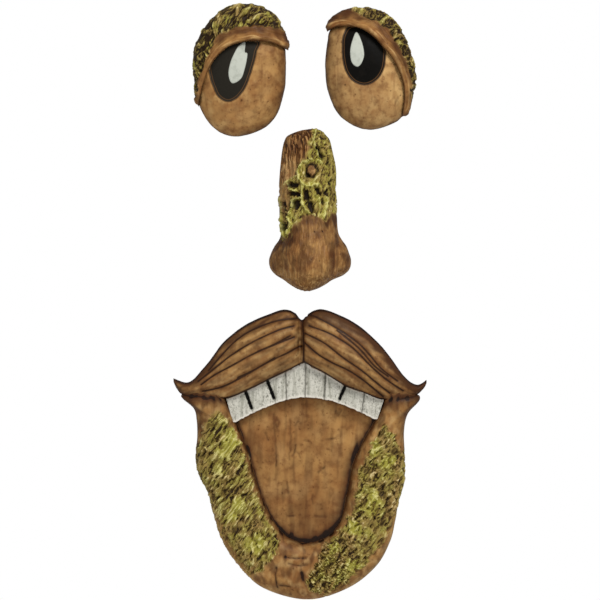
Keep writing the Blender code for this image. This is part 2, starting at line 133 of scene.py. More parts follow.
RIGHT_LID_EDGE = [
    (0.99, 0.7), (0.78, 0.785), (0.54, 0.797), (0.33, 0.775), (0.14, 0.717), (-0.075, 0.587),
    (-0.26, 0.425), (-0.44, 0.25), (-0.585, 0.03), (-0.69, -0.2), (-0.713, -0.43), (-0.69, -0.62),
    (-0.66, -0.79),
]
NOSE_SECTIONS = [
    (1, 0.14, 0.06, 0.16), (0.975, 0.06, 0.27, 0.3), (0.92, -0.02, 0.46, 0.4),
    (0.86, -0.02, 0.55, 0.46), (0.74, -0.02, 0.61, 0.51), (0.52, 0, 0.68, 0.55),
    (0.31, -0.01, 0.7, 0.57), (0.1, -0.01, 0.72, 0.6), (-0.12, 0.01, 0.7, 0.65),
    (-0.28, 0.04, 0.7, 0.72), (-0.37, 0.06, 0.77, 0.78), (-0.44, 0.06, 0.87, 0.84),
    (-0.53, 0.05, 0.95, 0.92), (-0.62, 0.05, 1, 0.98), (-0.72, 0.05, 0.97, 1),
    (-0.8, 0.04, 0.83, 0.97), (-0.86, 0, 0.6, 0.91), (-0.92, -0.01, 0.43, 0.81),
    (-0.97, -0.02, 0.25, 0.67), (-1, -0.02, 0.06, 0.5),
]
WING_SPAN = (-0.25, -0.90)
RIDGE_WIDTH = 0.70
JAW_OUTLINE = [
    (-0.94, 0.4), (-0.84, 0.32), (-0.815, 0.24), (-0.81, 0.12), (-0.825, -0.01), (-0.8, -0.14),
    (-0.73, -0.26), (-0.68, -0.42), (-0.62, -0.58), (-0.5, -0.75), (-0.29, -0.92), (0.06, -1),
    (0.38, -0.92), (0.6, -0.77), (0.71, -0.6), (0.75, -0.46), (0.78, -0.32), (0.825, -0.18),
    (0.825, 0), (0.82, 0.16), (0.85, 0.28), (0.945, 0.38), (0.9, 0.45), (0.74, 0.53),
    (0.5, 0.72), (0, 0.82), (-0.5, 0.72), (-0.74, 0.53), (-0.9, 0.46),
]
MOUTH_OUTLINE = [
    (-0.57, 0.39), (-0.5, 0.22), (-0.395, -0.02), (-0.33, -0.22), (-0.24, -0.41), (-0.12, -0.555),
    (0.04, -0.61), (0.21, -0.57), (0.32, -0.45), (0.375, -0.25), (0.42, -0.06), (0.51, 0.11),
    (0.6, 0.25), (0.64, 0.38), (0.45, 0.58), (0, 0.7), (-0.45, 0.58),
]
MOUSTACHE_TOP = [
    (-1, 0.525), (-0.96, 0.51), (-0.9, 0.495), (-0.85, 0.51), (-0.79, 0.565), (-0.7, 0.66),
    (-0.6, 0.775), (-0.43, 0.893), (-0.24, 0.968), (-0.12, 0.998), (-0.04, 0.975), (0.015, 0.935),
    (0.07, 0.975), (0.16, 1), (0.28, 0.972), (0.45, 0.895), (0.61, 0.775), (0.72, 0.66),
    (0.8, 0.56), (0.86, 0.505), (0.92, 0.48), (0.96, 0.49), (1, 0.515),
]
MOUSTACHE_BOTTOM = [
    (-1, 0.505), (-0.965, 0.445), (-0.92, 0.412), (-0.8, 0.4), (-0.67, 0.39), (-0.57, 0.387),
    (-0.407, 0.444), (-0.223, 0.525), (-0.065, 0.59), (0.028, 0.628), (0.09, 0.605), (0.2, 0.556),
    (0.354, 0.473), (0.498, 0.426), (0.643, 0.378), (0.774, 0.38), (0.906, 0.404), (0.975, 0.455),
    (1, 0.495),
]
TEETH_BOTTOM = [
    (-0.505, 0.225), (-0.315, 0.31), (-0.12, 0.375), (0.035, 0.395), (0.23, 0.375),
    (0.42, 0.315), (0.585, 0.245),
]
TEETH_FAN = 1.10
TEETH_MIDDLE = 2.9
TEETH_BED = 2.0
TEETH_ROOT = 1.8
FLOOR_SPAN = (-59.5, 44.0)
FLOOR_MIDDLE = 3.0
FLOOR_NARROWEST = -54.0
FLOOR_BED = 2.5
MOUSTACHE_CREST = [
    (0, 0.7), (0.03, 0.84), (0.1, 0.94), (0.25, 1), (0.48, 0.95), (0.7, 0.82),
    (0.86, 0.66), (1, 0.42),
]
MOUSTACHE_EDGE = [(0.0, 0.59), (0.10, 0.61), (0.48, 0.60), (0.75, 0.54), (1.0, 0.32)]
JAW_CENTRE = (0.02, -0.09)
# How far above level, in radians, the jaw shows beside the moustache, and how its beard leans
JAW_SHOWS = 0.62
BEARD_LEAN = 0.98

# ---------------------------------------------------------------- carving and paint, in millimetres
LEFT_IRIS = [
    (-54.9, 258.6), (-43.3, 267.5), (-27, 267), (-28.2, 259.9), (-29.7, 253.1), (-32.6, 243.8),
    (-36, 236), (-40.5, 230.4), (-46.5, 227.8), (-52.3, 230.6), (-55.8, 237), (-58.3, 245),
    (-58.8, 252.1),
]
LEFT_GLINT = [
    (-35.3, 266.4), (-35.6, 259.9), (-33.9, 258.6), (-35.1, 250.9), (-37.9, 242.7), (-43.7, 239.5),
    (-46.2, 245), (-44.9, 253.1), (-41.3, 261.2), (-38.5, 264.7),
]
RIGHT_IRIS = [
    (32.9, 277), (28.4, 271.5), (27.1, 263.8), (27.8, 254.1), (30.1, 246.3), (35.3, 240.5),
    (42.2, 238.6), (49.1, 241.8), (53.6, 248.3), (55.2, 258), (54.2, 264), (43.3, 276),
]
RIGHT_GLINT = [
    (36.4, 272.9), (39.6, 267), (41.3, 258.9), (39.9, 253.1), (36.8, 250.2), (33.2, 253.1),
    (32.2, 260), (33.6, 267),
]
RIGHT_LID_MOSS = [
    (32.9, 287.7), (37.5, 283.1), (47.8, 280.6), (57.5, 274.1), (63, 263.8), (68.4, 255.4),
    (71, 247.6), (71.7, 239.2), (71, 228.9), (95, 225), (95, 300), (35, 300),
]
NOSE_MOSS = [
    (9, 214), (19.4, 210), (30, 186.9), (30, 160), (22, 155.3), (14.9, 150.8),
    (9, 154.6), (1.3, 152.7), (-5.2, 145), (-9.3, 139), (-18, 140), (-18, 178),
    (-11, 176.4), (-6.5, 177.2), (-2.6, 179.8), (-1.9, 186.3), (2.6, 190.8), (5.2, 199.2),
]
# (x, z), width, height and lean of each dark hole in the moss of the nose
NOSE_HOLES = [
    ((13.6, 193), 2.2, 3.2, 30), ((11.6, 197.6), 1.3, 2.4, 60), ((12.3, 170.1), 1.8, 3.2, 20),
    ((17.4, 169.5), 1.5, 2.4, -20), ((18.7, 188.5), 1.2, 2, 0), ((-2.6, 161.3), 2.7, 3.6, -10),
    ((-4.1, 168.2), 4.6, 1.5, -12), ((-4.8, 174), 4.2, 1.8, 8), ((-9.6, 155.3), 1.4, 4.4, 12),
    ((-10.6, 161.5), 1.7, 2.6, 30), ((4.2, 167.4), 1.9, 4.2, 14), ((6.6, 161.2), 2.2, 3.6, 30),
    ((8, 157.6), 1.5, 2.2, 0), ((19.6, 176), 1.2, 2.2, -30), ((-10.4, 147), 1.4, 3.2, 5),
    ((15, 163), 1.2, 1.8, 10),
]
# Raised threads of moss on the nose, with their half widths
NOSE_RIDGES = [
    ([(-1, 185), (1.9, 188.6), (6.2, 190.4), (10.5, 190.4), (13.5, 188.6)], 0.75),
    ([(-1.7, 184.4), (-1, 180), (1.2, 175.6), (4.1, 173.5), (8.4, 174.2), (12, 174.5)], 1.1),
    ([(-8.2, 175.6), (-7.5, 172.1), (-1.7, 169.9)], 0.7),
    ([(1.2, 172.7), (1.2, 165.6), (1.9, 161.2)], 1),
    ([(1.9, 161.2), (4.8, 156.9), (9.8, 154)], 0.8), ([(-5.3, 164.1), (-5.3, 158.3), (-8.2, 154.7)], 0.9),
    ([(-8.2, 154.7), (-6, 149), (-8.2, 142.5)], 0.8), ([(-10.3, 159.2), (-7.5, 151.2)], 0.6),
    ([(-13.2, 165.6), (-11.8, 155.4), (-11.8, 146.9), (-9.7, 140.4)], 0.7),
    ([(17.8, 165.6), (14.9, 152.7)], 0.8),
    ([(9.8, 209), (9, 201.8), (10.5, 195.8), (13.4, 190.8)], 0.6),
    ([(-1, 180.5), (-6, 178), (-10, 174.5)], 0.6),
    ([(9.8, 168), (12.5, 164), (13, 159)], 0.7),
    ([(-5.3, 164.1), (-1, 165.4), (1.2, 165.6)], 0.6),
]
KNOT = (7.7, 183.4)
KNOT_RADIUS = 5.5
CRESCENT = (5.8, 115.3)
HAIR_LINES = [
    [(3.9, 90), (9.7, 89.3), (25.2, 81), (40, 70.1), (52.3, 55.9), (63, 47.6)],
    [(5.7, 83.3), (20, 77.8), (34.2, 68.8), (45.8, 57.1), (56.2, 48.1), (66.5, 41)],
    [(2.9, 78.3), (15.5, 72), (27.1, 63), (40, 53.9), (51.7, 44.2), (59.4, 38.4)],
    [(2.9, 71.9), (11, 64.9), (20, 59.4), (31.6, 53.9), (42, 46.8), (53.6, 37.1)],
    [(-1.6, 88.1), (-15.5, 86.5), (-30.3, 81), (-40.7, 74.6), (-51, 64.2), (-59.4, 54.6)],
    [(-3.6, 83.2), (-14, 80.4), (-30.3, 73), (-44, 64.6), (-54.5, 56.5), (-66, 47.5)],
    [(-3.6, 75.9), (-15.5, 71.3), (-30.3, 64.9), (-44.6, 57.1), (-55.5, 51.3), (-64, 45)],
    [(0.4, 69.9), (-8.5, 65.2), (-21, 59.2), (-36, 50.6), (-50, 43.6), (-63, 40.5)],
    [(-6, 76.8), (-18, 70.4), (-27, 66.8)],
    [(-16, 62.3), (-30, 54.2), (-40, 49.6)],
    [(24, 80.4), (38, 68.8), (48, 57.4), (57, 50.4)],
]
# Where two teeth part, at their roots and their lower ends, the width and depth of the gap, and the
# share of the teeth that it runs down
TOOTH_GAPS = [
    (-35.7, -30.2, 1.7, 4.5, 0.84), (-21.8, -15.6, 1.6, 4.5, 0.84), (-9.5, -8.6, 0.3, 0.8, 1.1),
    (3.75, 3.2, 0.45, 0.9, 1.1), (16.7, 15.6, 0.5, 1, 1.1), (29.9, 24.6, 1.5, 4.5, 0.84),
    (42, 39.8, 0.4, 0.9, 1.1),
]
BEARD_LEFT_EDGE = [
    (-46.5, 24.5), (-43.9, 18.7), (-33.9, -1), (-28.4, -22.3), (-21.3, -39.1), (-13.6, -51.3),
    (-13.6, -59.7), (-14.9, -63.6), (-23.2, -74.6), (-29.7, -78.5), (-44, -96), (-95, -96),
    (-95, 10), (-66, 8), (-61, 22), (-54, 27.5),
]
BEARD_RIGHT_EDGE = [
    (53.6, 20.3), (45.8, 6.1), (37.6, -10.7), (36, -20.3), (34.5, -33.3), (26.8, -47.5),
    (14.9, -57.8), (11.3, -67.5), (3.9, -80.4), (5.2, -88.1), (17, -92), (28.1, -86.1),
    (42.6, -71.1), (54.2, -58.2), (58.7, -50.5), (64.5, -34.2), (95, -14.2), (95, 0),
    (66, 2), (61.5, 12),
]
# (x, z), half width, half height and lean of the patches where the moss is brightest or missing
BRIGHT_MOSS = [
    ((-45.2, 8.1), 6, 11, -35), ((-42.9, -35.8), 4, 9, -30), ((-28.4, -57.8), 6, 6, 0),
    ((46.9, -30.7), 4.5, 9, -15), ((57, -4.5), 7, 3.5, 30), ((48.4, 3), 4, 5, 0),
    ((35.5, -47.5), 5, 5, 0), ((22, -60), 4, 4, 0), ((34.9, -72), 6, 5, -40),
]
BARE_MOSS = [
    ((-41.3, -23.2), 6, 2.4, 0), ((-42, -48.8), 5, 3, 20), ((42.6, -9.4), 2.2, 3, 0),
    ((60.7, 2), 3, 4, 20), ((52.9, -24.8), 2.4, 4, 0), ((42.6, -60.2), 3, 4, 20),
    ((27, -56.4), 3, 3, 0), ((53.6, -42.9), 3, 4, -20), ((57.5, -39.1), 2, 3, 0),
    ((33, -64), 2.5, 4, 20), ((-38.7, -10.7), 1.4, 4, -35), ((-33.5, -13), 3.4, 1.2, 35),
    ((-47.8, -6.1), 1.2, 3.4, -30), ((-47.1, -17.8), 2.4, 1.3, 20), ((-48.8, -24.9), 1.6, 2.4, 0),
    ((-41.3, 2.9), 1.1, 4, -35), ((-28.4, -43.6), 2, 2, 0), ((-20.7, -51.3), 2, 2, 0),
    ((-22.6, -63.6), 2.4, 2, 0),
]
CHIN_CREASES = [
    [(-9.5, -66), (-4, -66.8), (3.5, -66.6)], [(-7.5, -70.2), (-1, -71.6), (4.5, -70.8)],
    [(-15, -73), (-15.8, -79), (-14.6, -86)], [(1.2, -76), (1.8, -81.5)],
    [(-13, -84.6), (-6.5, -85.4)],
]
FLOOR_MARKS = [
    [(4.2, 35), (4.5, 28), (3.9, 21)], [(-6.5, 22), (-6.1, 10), (-6.9, -3.5)],
    [(-17, 26), (-16, 10), (-15.2, -7.5)],
    [(-14.9, 24), (-13.2, 20.5), (-14.9, 17.5), (-16.1, 20.5), (-14.9, 24)],
    [(-3, 18.5), (-1.5, 21.5), (0.6, 20)], [(-2.6, 6), (-3.6, 1.5), (-4.4, -1)],
    [(-3.4, 2), (-0.6, 0.4), (0.2, -2.2)], [(2.4, 9), (5.5, 8.6)], [(12, -11.6), (15.8, -8.2)],
    [(13.2, -8.6), (14.4, -12)], [(-8, -40), (-3.6, -39.6)], [(9.6, -40), (16.8, -40.4)],
    [(23.4, 28), (25.2, 25.4), (26.8, 28.6)], [(14.6, 28.8), (15, 25.2)], [(17, 9.6), (23, 10.4)],
    [(-22, 14), (-20.6, 9)], [(8, -26), (8.4, -32)], [(-8.2, -18), (-7.8, -25)],
]


# ---------------------------------------------------------------- noise and plane geometry
ORDER = np.random.default_rng(414).permutation(256)
SLOPES = np.random.default_rng(415).normal(size=(256, 3))
SLOPES /= np.linalg.norm(SLOPES, axis=1)[:, None]


def joined(*parts):
    """Points (..., 3) from arrays or single numbers for their three parts."""
    return np.stack(np.broadcast_arrays(*parts), -1)


def noise(p, seed=0):
    """Smooth noise of about -1 to 1 at points given as (..., 3)."""
    p = np.asarray(p, float) + 31.7 * seed
    cell = np.floor(p).astype(int)
    part = p - cell
    ease = part**3 * (part * (part * 6 - 15) + 10)
    total = 0.0
    for corner in itertools.product((0, 1), repeat=3):
        c = (cell + corner) & 255
        h = ORDER[(ORDER[(ORDER[c[..., 0]] + c[..., 1]) & 255] + c[..., 2]) & 255]
        share = np.prod(np.where(corner, ease, 1 - ease), axis=-1)
        total = total + share * ((part - corner) * SLOPES[h]).sum(-1)
    return 1.7 * total


def fractal(p, seed=0, octaves=3):
    return sum(noise(p * 2**k, seed + k) / 2**k for k in range(octaves)) / 1.6


def smooth(low, high, value):
    t = np.clip((value - low) / (high - low), 0, 1)
    return t * t * (3 - 2 * t)


def bell(value):
    return np.exp(-(value**2))


def from_ends(count):
    """How many columns each column lies from the nearer end."""
    return np.minimum(np.arange(count), count - 1 - np.arange(count))[None, :]


def curve_through(points, count, closed=False):
    """Evenly shared points on a Catmull-Rom curve through the given ones."""
    given = np.array(points, float)
    spans = len(given) if closed else len(given) - 1
    place = np.arange(count) * spans / (count if closed else count - 1)
    i = np.minimum(place.astype(int), spans - 1)
    t = (place - i)[:, None]
    if closed:
        a, b, c, d = (given[(i + j) % len(given)] for j in (-1, 0, 1, 2))
    else:
        a, b, c, d = (given[np.clip(i + j, 0, len(given) - 1)] for j in (-1, 0, 1, 2))
    return 0.5 * (2 * b + (c - a) * t + (2 * a - 5 * b + 4 * c - d) * t**2 + (3 * b - a - 3 * c + d) * t**3)


def height_along(points, x):
    fine = curve_through(points, 12 * len(points))
    return np.interp(x, fine[:, 0], fine[:, 1])


def reach_of(outline, centre):
    """How far a star-shaped outline lies from the centre, as a function of the angle."""
    fine = curve_through(outline, 40 * len(outline), closed=True) - centre
    angles = np.arctan2(fine[:, 1], fine[:, 0])
    reaches = np.hypot(fine[:, 0], fine[:, 1])
    order = np.argsort(angles)
    return lambda angle: np.interp(angle, angles[order], reaches[order], period=2 * math.pi)


def line_distance(x, z, line):
    """Distance in millimetres from places of the front to an open line."""
    best = np.full(np.shape(x), 1e9)
    for (ax, az), (bx, bz) in zip(line, line[1:]):
        dx, dz = bx - ax, bz - az
        t = np.clip(((x - ax) * dx + (z - az) * dz) / max(dx * dx + dz * dz, 1e-9), 0, 1)
        best = np.minimum(best, np.hypot(x - ax - t * dx, z - az - t * dz))
    return best


def nearest_line(x, z, lines, fine=0):
    """Distance to the nearest of several lines, or of the curves of that many points through them."""
    best = np.full(x.shape, FAR)
    for line in lines:
        best = np.minimum(best, line_distance(x, z, curve_through(line, fine) if fine else line))
    return best


def inside_by(x, z, outline, fine=0):
    """How far places lie inside a closed outline, negative outside it."""
    line = curve_through(outline, fine, closed=True) if fine else np.array(outline, float)
    line = np.vstack([line, line[:1]])
    within = np.zeros(np.shape(x), bool)
    for (ax, az), (bx, bz) in zip(line, line[1:]):
        if az == bz:
            continue
        crosses = ((az > z) != (bz > z)) & (x < (bx - ax) * (z - az) / (bz - az) + ax)
        within ^= crosses
    return np.where(within, 1, -1) * line_distance(x, z, line)


def spots(x, z, ovals):
    """1 in the middle of leaning ovals, 0 outside."""
    total = np.zeros(np.shape(x))
    for (cx, cz), w, h, lean in ovals:
        a = math.radians(lean)
        dx, dz = x - cx, z - cz
        u, v = dx * math.cos(a) + dz * math.sin(a), -dx * math.sin(a) + dz * math.cos(a)
        total = np.maximum(total, 1 - smooth(0.55, 1.25, np.hypot(u / w, v / h)))
    return total


def scaled(points, half=MOUTH_HALF, at=(0.0, 0.0), side=1):
    return np.array([(at[0] + side * x * half[0], at[1] + z * half[1]) for x, z in points])


# ---------------------------------------------------------------- meshes from grids of points
def outward(grid, around):
    """Normals of a grid of points (rows, columns, 3) that point to the front or away from its middle.
    around: its last column meets its first."""
    down = np.gradient(grid, axis=0)
    if around:
        across = (np.roll(grid, -1, axis=1) - np.roll(grid, 1, axis=1)) / 2
    else:
        across = np.gradient(grid, axis=1)
    normal = np.cross(down, across)
    normal = normal / np.maximum(np.linalg.norm(normal, axis=-1, keepdims=True), 1e-9)
    middle = grid.reshape(-1, 3).mean(0)
    away = grid - (middle + np.array([0, 30.0, 0]))
    return normal * np.sign((normal * away).sum(-1).mean())


def raised(grid, relief, around):
    return grid + relief[..., None] * outward(grid, around)


def steepness(grid, around):
    """0 where a form faces the front, 1 on its steep sides."""
    return 1 - np.abs(outward(grid, around)[..., 1])


def polar(centre, steps, angles, height, back, side_rows=7):
    """Points of a relief over a star-shaped outline, with straight sides behind its rim.
    height(step, angle) gives the reach and the y of the points."""
    step, angle = np.meshgrid(steps, angles, indexing="ij")
    out, y = height(step, angle)
    rim = out[-1:], y[-1:]
    down = np.linspace(0, 1, side_rows + 1)[1:, None]
    out = np.vstack([out, np.repeat(rim[0], side_rows, 0)])
    y = np.vstack([y, rim[1] + (back - rim[1]) * down])
    angle = np.vstack([angle, np.repeat(angle[-1:], side_rows, 0)])
    return joined(centre[0] + out * np.cos(angle), y, centre[1] + out * np.sin(angle))


def placed(name, data):
    obj = bpy.data.objects.new(name, data)
    bpy.context.scene.collection.objects.link(obj)
    return obj


def solid_of(name, grid, fields):
    """A closed solid over a grid of points, with its fields as attributes. Its first and last rows
    are closed by a fan about their middles."""
    rows, columns = grid.shape[:2]
    points = grid.reshape(-1, 3)
    index = np.arange(rows * columns).reshape(rows, columns)
    nxt = np.roll(index, -1, axis=1)
    a, b, c, d = index[:-1, :], nxt[:-1, :], nxt[1:, :], index[1:, :]
    triangles = [joined(a, b, c).reshape(-1, 3), joined(a, c, d).reshape(-1, 3)]
    ends = []
    for row, flip in ((0, True), (rows - 1, False)):
        fan = joined(index[row], nxt[row], len(points) + len(ends))
        triangles.append(fan[:, ::-1] if flip else fan)
        ends.append((points[index[row]].mean(0), {k: float(np.mean(v[row])) for k, v in fields.items()}))
    points = np.vstack([points] + [middle[None] for middle, _ in ends])
    mesh = bpy.data.meshes.new(name)
    mesh.vertices.add(len(points))
    mesh.vertices.foreach_set("co", (points * MM).astype(np.float32).ravel())
    faces = np.vstack(triangles)
    mesh.loops.add(faces.size)
    mesh.loops.foreach_set("vertex_index", faces.astype(np.int32).ravel())
    mesh.polygons.add(len(faces))
    mesh.polygons.foreach_set("loop_start", np.arange(0, faces.size, 3, dtype=np.int32))
    mesh.polygons.foreach_set("loop_total", np.full(len(faces), 3, dtype=np.int32))
    mesh.update(calc_edges=True)
    for key, value in fields.items():
        data = np.append(value.ravel(), [means[key] for _, means in ends]).astype(np.float32)
        mesh.attributes.new(key, "FLOAT", "POINT").data.foreach_set("value", data)
    bm = bmesh.new()
    bm.from_mesh(mesh)
    bmesh.ops.dissolve_degenerate(bm, edges=bm.edges, dist=1e-7)
    bmesh.ops.recalc_face_normals(bm, faces=bm.faces)
    if bm.calc_volume(signed=True) < 0:
        bmesh.ops.reverse_faces(bm, faces=bm.faces)
    bm.to_mesh(mesh)
    bm.free()
    return placed(name, mesh)


def prism_of(name, outline, front, back):
    """A flat outline of (x, z) drawn out between two depths."""
    bm = bmesh.new()
    rings = [[bm.verts.new((x * MM, y * MM, z * MM)) for x, z in outline] for y in (front, back)]
    count = len(outline)
    for k in range(count):
        n = (k + 1) % count
        bm.faces.new((rings[0][k], rings[0][n], rings[1][n], rings[1][k]))
    bm.faces.new(rings[0])
    bm.faces.new(rings[1])
    bm.normal_update()
    bmesh.ops.recalc_face_normals(bm, faces=bm.faces)
    mesh = bpy.data.meshes.new(name)
    bm.to_mesh(mesh)
    bm.free()
    return placed(name, mesh)


def change(target, operand, operation):
    """Joins the operand to the target, or cuts it away, and removes it."""
    modifier = target.modifiers.new("change", "BOOLEAN")
    modifier.operation = operation
    modifier.object = operand
    modifier.solver = "MANIFOLD"
    graph = bpy.context.evaluated_depsgraph_get()
    graph.update()
    mesh = bpy.data.meshes.new_from_object(target.evaluated_get(graph))
    target.modifiers.clear()
    target.data = mesh
    bpy.data.objects.remove(operand)


def cut_back(target, at, up):
    """Cuts the target flat behind, and drills its hanging hole."""
    reach = 2 * (MOUTH_HALF[0] + MOUTH_HALF[1])
    x, z = at
    square = [(x + i * reach, z + j * reach) for i, j in ((-1, -1), (1, -1), (1, 1), (-1, 1))]
    change(target, prism_of("back", square, 0.0, 60.0), "DIFFERENCE")
    radius, depth = HANG_HOLE
    turn = [2 * math.pi * k / 48 for k in range(48)]
    ring = [(x + radius * math.cos(a), z + up + radius * math.sin(a)) for a in turn]
    change(target, prism_of("hole", ring, -depth, BEHIND), "DIFFERENCE")


# ---------------------------------------------------------------- moss, bark and pits
# In the forms below, the factors of the relief are depths in millimetres, a grid is divided by the
# width of the noise in millimetres, and the last number of each noise is its seed.
def lumps(p):
    """The slow rise and fall of the moss, about 0 to 1."""
    return 0.5 + noise(joined(p[..., 0], 0, p[..., 2]) / MOSS_PATCH, 3)


def strands(u, v, y, size, stretch, seed):
    """Moss that hangs in strands of that width: 1 on their crests, 0 in their gaps. u runs along
    them and v across them."""
    slow = joined(u, v, y) / (4 * size)
    q = joined(u / (size * stretch), v / size, y / (3 * size))
    q = q + joined(0.5 * noise(slow, seed + 1), 0.5 * noise(slow, seed + 2), 0)
    blade = smooth(-0.30, 0.42, noise(q, seed))
    thread = np.clip(1 - np.abs(noise(q * (1.2, 2.3, 1.5), seed + 3)) / 0.32, 0, 1)
    return np.clip(0.66 * blade + 0.40 * thread * (0.3 + 0.7 * blade), 0, 1)


def threads(p, size, seed):
    """Curly moss: thin raised threads round dark cells."""
    q = p / size
    q = q + 0.55 * joined(*(noise(q * 0.8, seed + k) for k in (1, 2, 3)))
    return np.clip(1 - np.abs(noise(q, seed)) / 0.30, 0, 1) ** 0.8


def pits(p, size, share, seed):
    """Small round hollows: 1 in their middles."""
    return smooth(1 - share, 1 - share + 0.18, noise(p / size, seed))


def painted(grid):
    """The empty set of fields that every part of a piece carries."""
    return {key: np.full(grid.shape[:2], float(value)) for key, value in PLAIN.items()}


# ---------------------------------------------------------------- eyes
def dome(outline, at, bulge):
    """The height of an eye's form: a quarter of an oval from its rim to its crown."""
    reach = reach_of(outline, at)

    def height(step, angle):
        quarter = step * math.pi / 2
        return reach(angle) * np.sin(quarter), -EYE_RIM - bulge * np.cos(quarter)

    return height


def make_ball(name, at, side, outline, iris_outline, glint_outline):
    rows, columns = BALL_GRID
    angles = np.linspace(-math.pi, math.pi, columns, endpoint=False)
    height = dome(scaled(outline, EYE_HALF, at, side), at, EYE_BULGE)
    grid = polar(at, np.linspace(0.004, 1, rows), angles, height, BEHIND)
    fields = painted(grid)
    x, _, z = np.moveaxis(grid, -1, 0)
    front = np.arange(len(grid))[:, None] < rows
    iris = np.where(front, inside_by(x, z, iris_outline, 80), -CLEAR)
    glint = np.where(front, inside_by(x, z, glint_outline, 60), -CLEAR)
    hollow = pits(grid, 2.1, 0.30, 11) * (iris < -0.8)
    swell = 0.40 * fractal(grid / 14, 21) + 0.14 * fractal(grid / 3.4, 24)
    relief = swell - 0.25 * hollow - 0.75 * smooth(-0.3, 0.5, iris) - 0.30 * bell((iris + 0.5) / 0.4)
    relief = np.where(iris > 0.3, relief - 0.8 * swell, relief) + 0.35 * smooth(-0.1, 0.5, glint)
    stain = smooth(0.15, 0.6, noise(grid / 4.6, 27))
    stain = stain * (0.4 + 0.6 * smooth(-0.2, 0.4, noise(grid / 1.7, 29)))
    streaks = smooth(0.25, 0.6, noise(joined(x / 3.0, 0, z / 14), 28))
    inner = side * (x - at[0]) / EYE_HALF[0]
    steep = steepness(grid, True) ** 1.6
    pale = smooth(-0.2, 0.5, noise(grid / 6.5, 26)) * (0.35 + 0.65 * smooth(0.6, -0.9, inner))
    black, tan = (0.9, 0.18) if side > 0 else (0.1, 0.55)
    fields["iris"], fields["glint"] = iris, glint
    fields["wash_and_shadow"] = np.clip(0.75 * hollow + 0.30 * stain + 0.10 * streaks, 0, 1)
    # Painted shade on the steep sides, over random tone that darkens towards the nose
    fields["tone_and_shade"] = np.clip(0.25 * noise(grid / 8, 25) + 0.28 * smooth(-0.3, 1.0, inner) + 0.75 * steep, 0, 1)
    fields["bright"] = np.where(iris > 0.0, black, tan + 0.55 * pale)
    return solid_of(name, raised(grid, relief, True), fields)


def make_lid(name, at, side, outline, edge, moss_cover):
    """A lid over its eye, with moss above a smooth lip that is rounded over its edge."""
    side_rows, roll = 10, 2.1
    rows, columns = LID_GRID
    angles = np.linspace(-math.pi, math.pi, columns, endpoint=False)
    steps = np.concatenate([[0.02, 0.15], np.linspace(0.27, 1, rows)])
    height = dome(scaled(outline, EYE_HALF, at, side), at, LID_BULGE)
    grid = polar(at, steps, angles, height, BEHIND + 2, side_rows)
    fields = painted(grid)
    x, y, z = np.moveaxis(grid, -1, 0)
    off = line_distance(x, z, edge)
    cover = moss_cover(x, z, off)
    # Tufts of leaves point away from the eye
    away, turn = np.hypot(x - at[0], z - at[1]), np.arctan2(x - at[0], z - at[1])
    across = 30 * turn - 0.45 * away
    seed = 41 if side > 0 else 47
    leaf = strands(away, across, y, 2.7, 2.2, seed)
    blade = strands(away, across, y, 1.45, 3.2, seed + 10)
    tuft = smooth(-0.35, 0.25, noise(joined(away / 5.5, across / 4.2, y / 9), seed + 5))
    crest = np.clip((0.50 * leaf + 0.62 * blade) * (0.45 + 0.62 * tuft), 0, 1)
    share = np.sin(np.append(steps, np.ones(side_rows))[:, None] * math.pi / 2)
    slow = MOSS_LUMP * (1 - share**8) * np.clip(lumps(grid), 0, 1) * cover
    depth = np.append(np.ones(len(steps)), np.linspace(1, 0.3, side_rows))[:, None]
    calm = 1 - 0.55 * smooth(0.86, 1.0, share)
    relief = slow * calm + cover * depth * calm * (1.5 * tuft + 1.9 * crest - 2.5)
    # Wrinkles run along the lip
    folds = noise(joined(x / 8, y / 8, off * 0.95 + 1.2 * noise(grid / 9, 34)), 33)
    dots = pits(grid, 2.0, 0.26, 13)
    relief += (1 - cover) * (0.50 * folds + 0.18 * fractal(grid / 3.2, 35)) * depth
    relief -= 0.30 * (1 - cover) * dots
    round_off = roll - np.sqrt(np.maximum(roll**2 - np.maximum(roll - off, 0) ** 2, 0))
    on_dome = share < 0.999
    relief += (bell((off - 2.6) / 1.5) - 0.6 * bell((off - 6.0) / 1.2) * (1 - cover)) * on_dome
    creases = smooth(0.05, -0.45, folds) * smooth(0.8, 2.0, off)
    rooted = smooth(4.2, 6.5, off + 1.2 * noise(grid / 4, 36)) * (1 - cover)
    # Painted highlight along the lip near its edge, on the crests of its wrinkles
    lit = smooth(-0.1, 0.5, folds) * bell((off - 2.2) / 1.8)
    fields["tuft"] = cover
    fields["crest"] = np.clip(1.18 * (crest * (0.35 + 0.65 * tuft)) ** 1.4, 0, 1)
    # Painted shadow along the lid's edge, beside a dark wash in pits and creases and over the lip
    fields["wash_and_shadow"] = np.clip(0.45 * dots + 0.75 * bell(off / 0.8) + 0.22 * creases + 0.26 * rooted, 0, 0.8)
    fields["bright"] = np.where(cover > 0.5, 0.7 * smooth(-0.2, 0.6, noise(grid / 8, 81)), lit)
    fields["moss"] = cover * np.clip(0.6 + 0.9 * noise(grid / 7, 82), 0.1, 1)
    # Painted shade on the steep sides, over random tone and a lip that darkens away from its edge
    fields["tone_and_shade"] = np.clip(
        (1 - cover) * (0.16 + 0.34 * smooth(2.5, 7, off)) + 0.34 * noise(grid / 6, 83)
        + 0.6 * steepness(grid, True) ** 1.5, 0, 1,
    )
    grid = raised(grid, relief, True)
    grid[..., 1] += np.where(on_dome, round_off, 0)
    return solid_of(name, grid, fields)


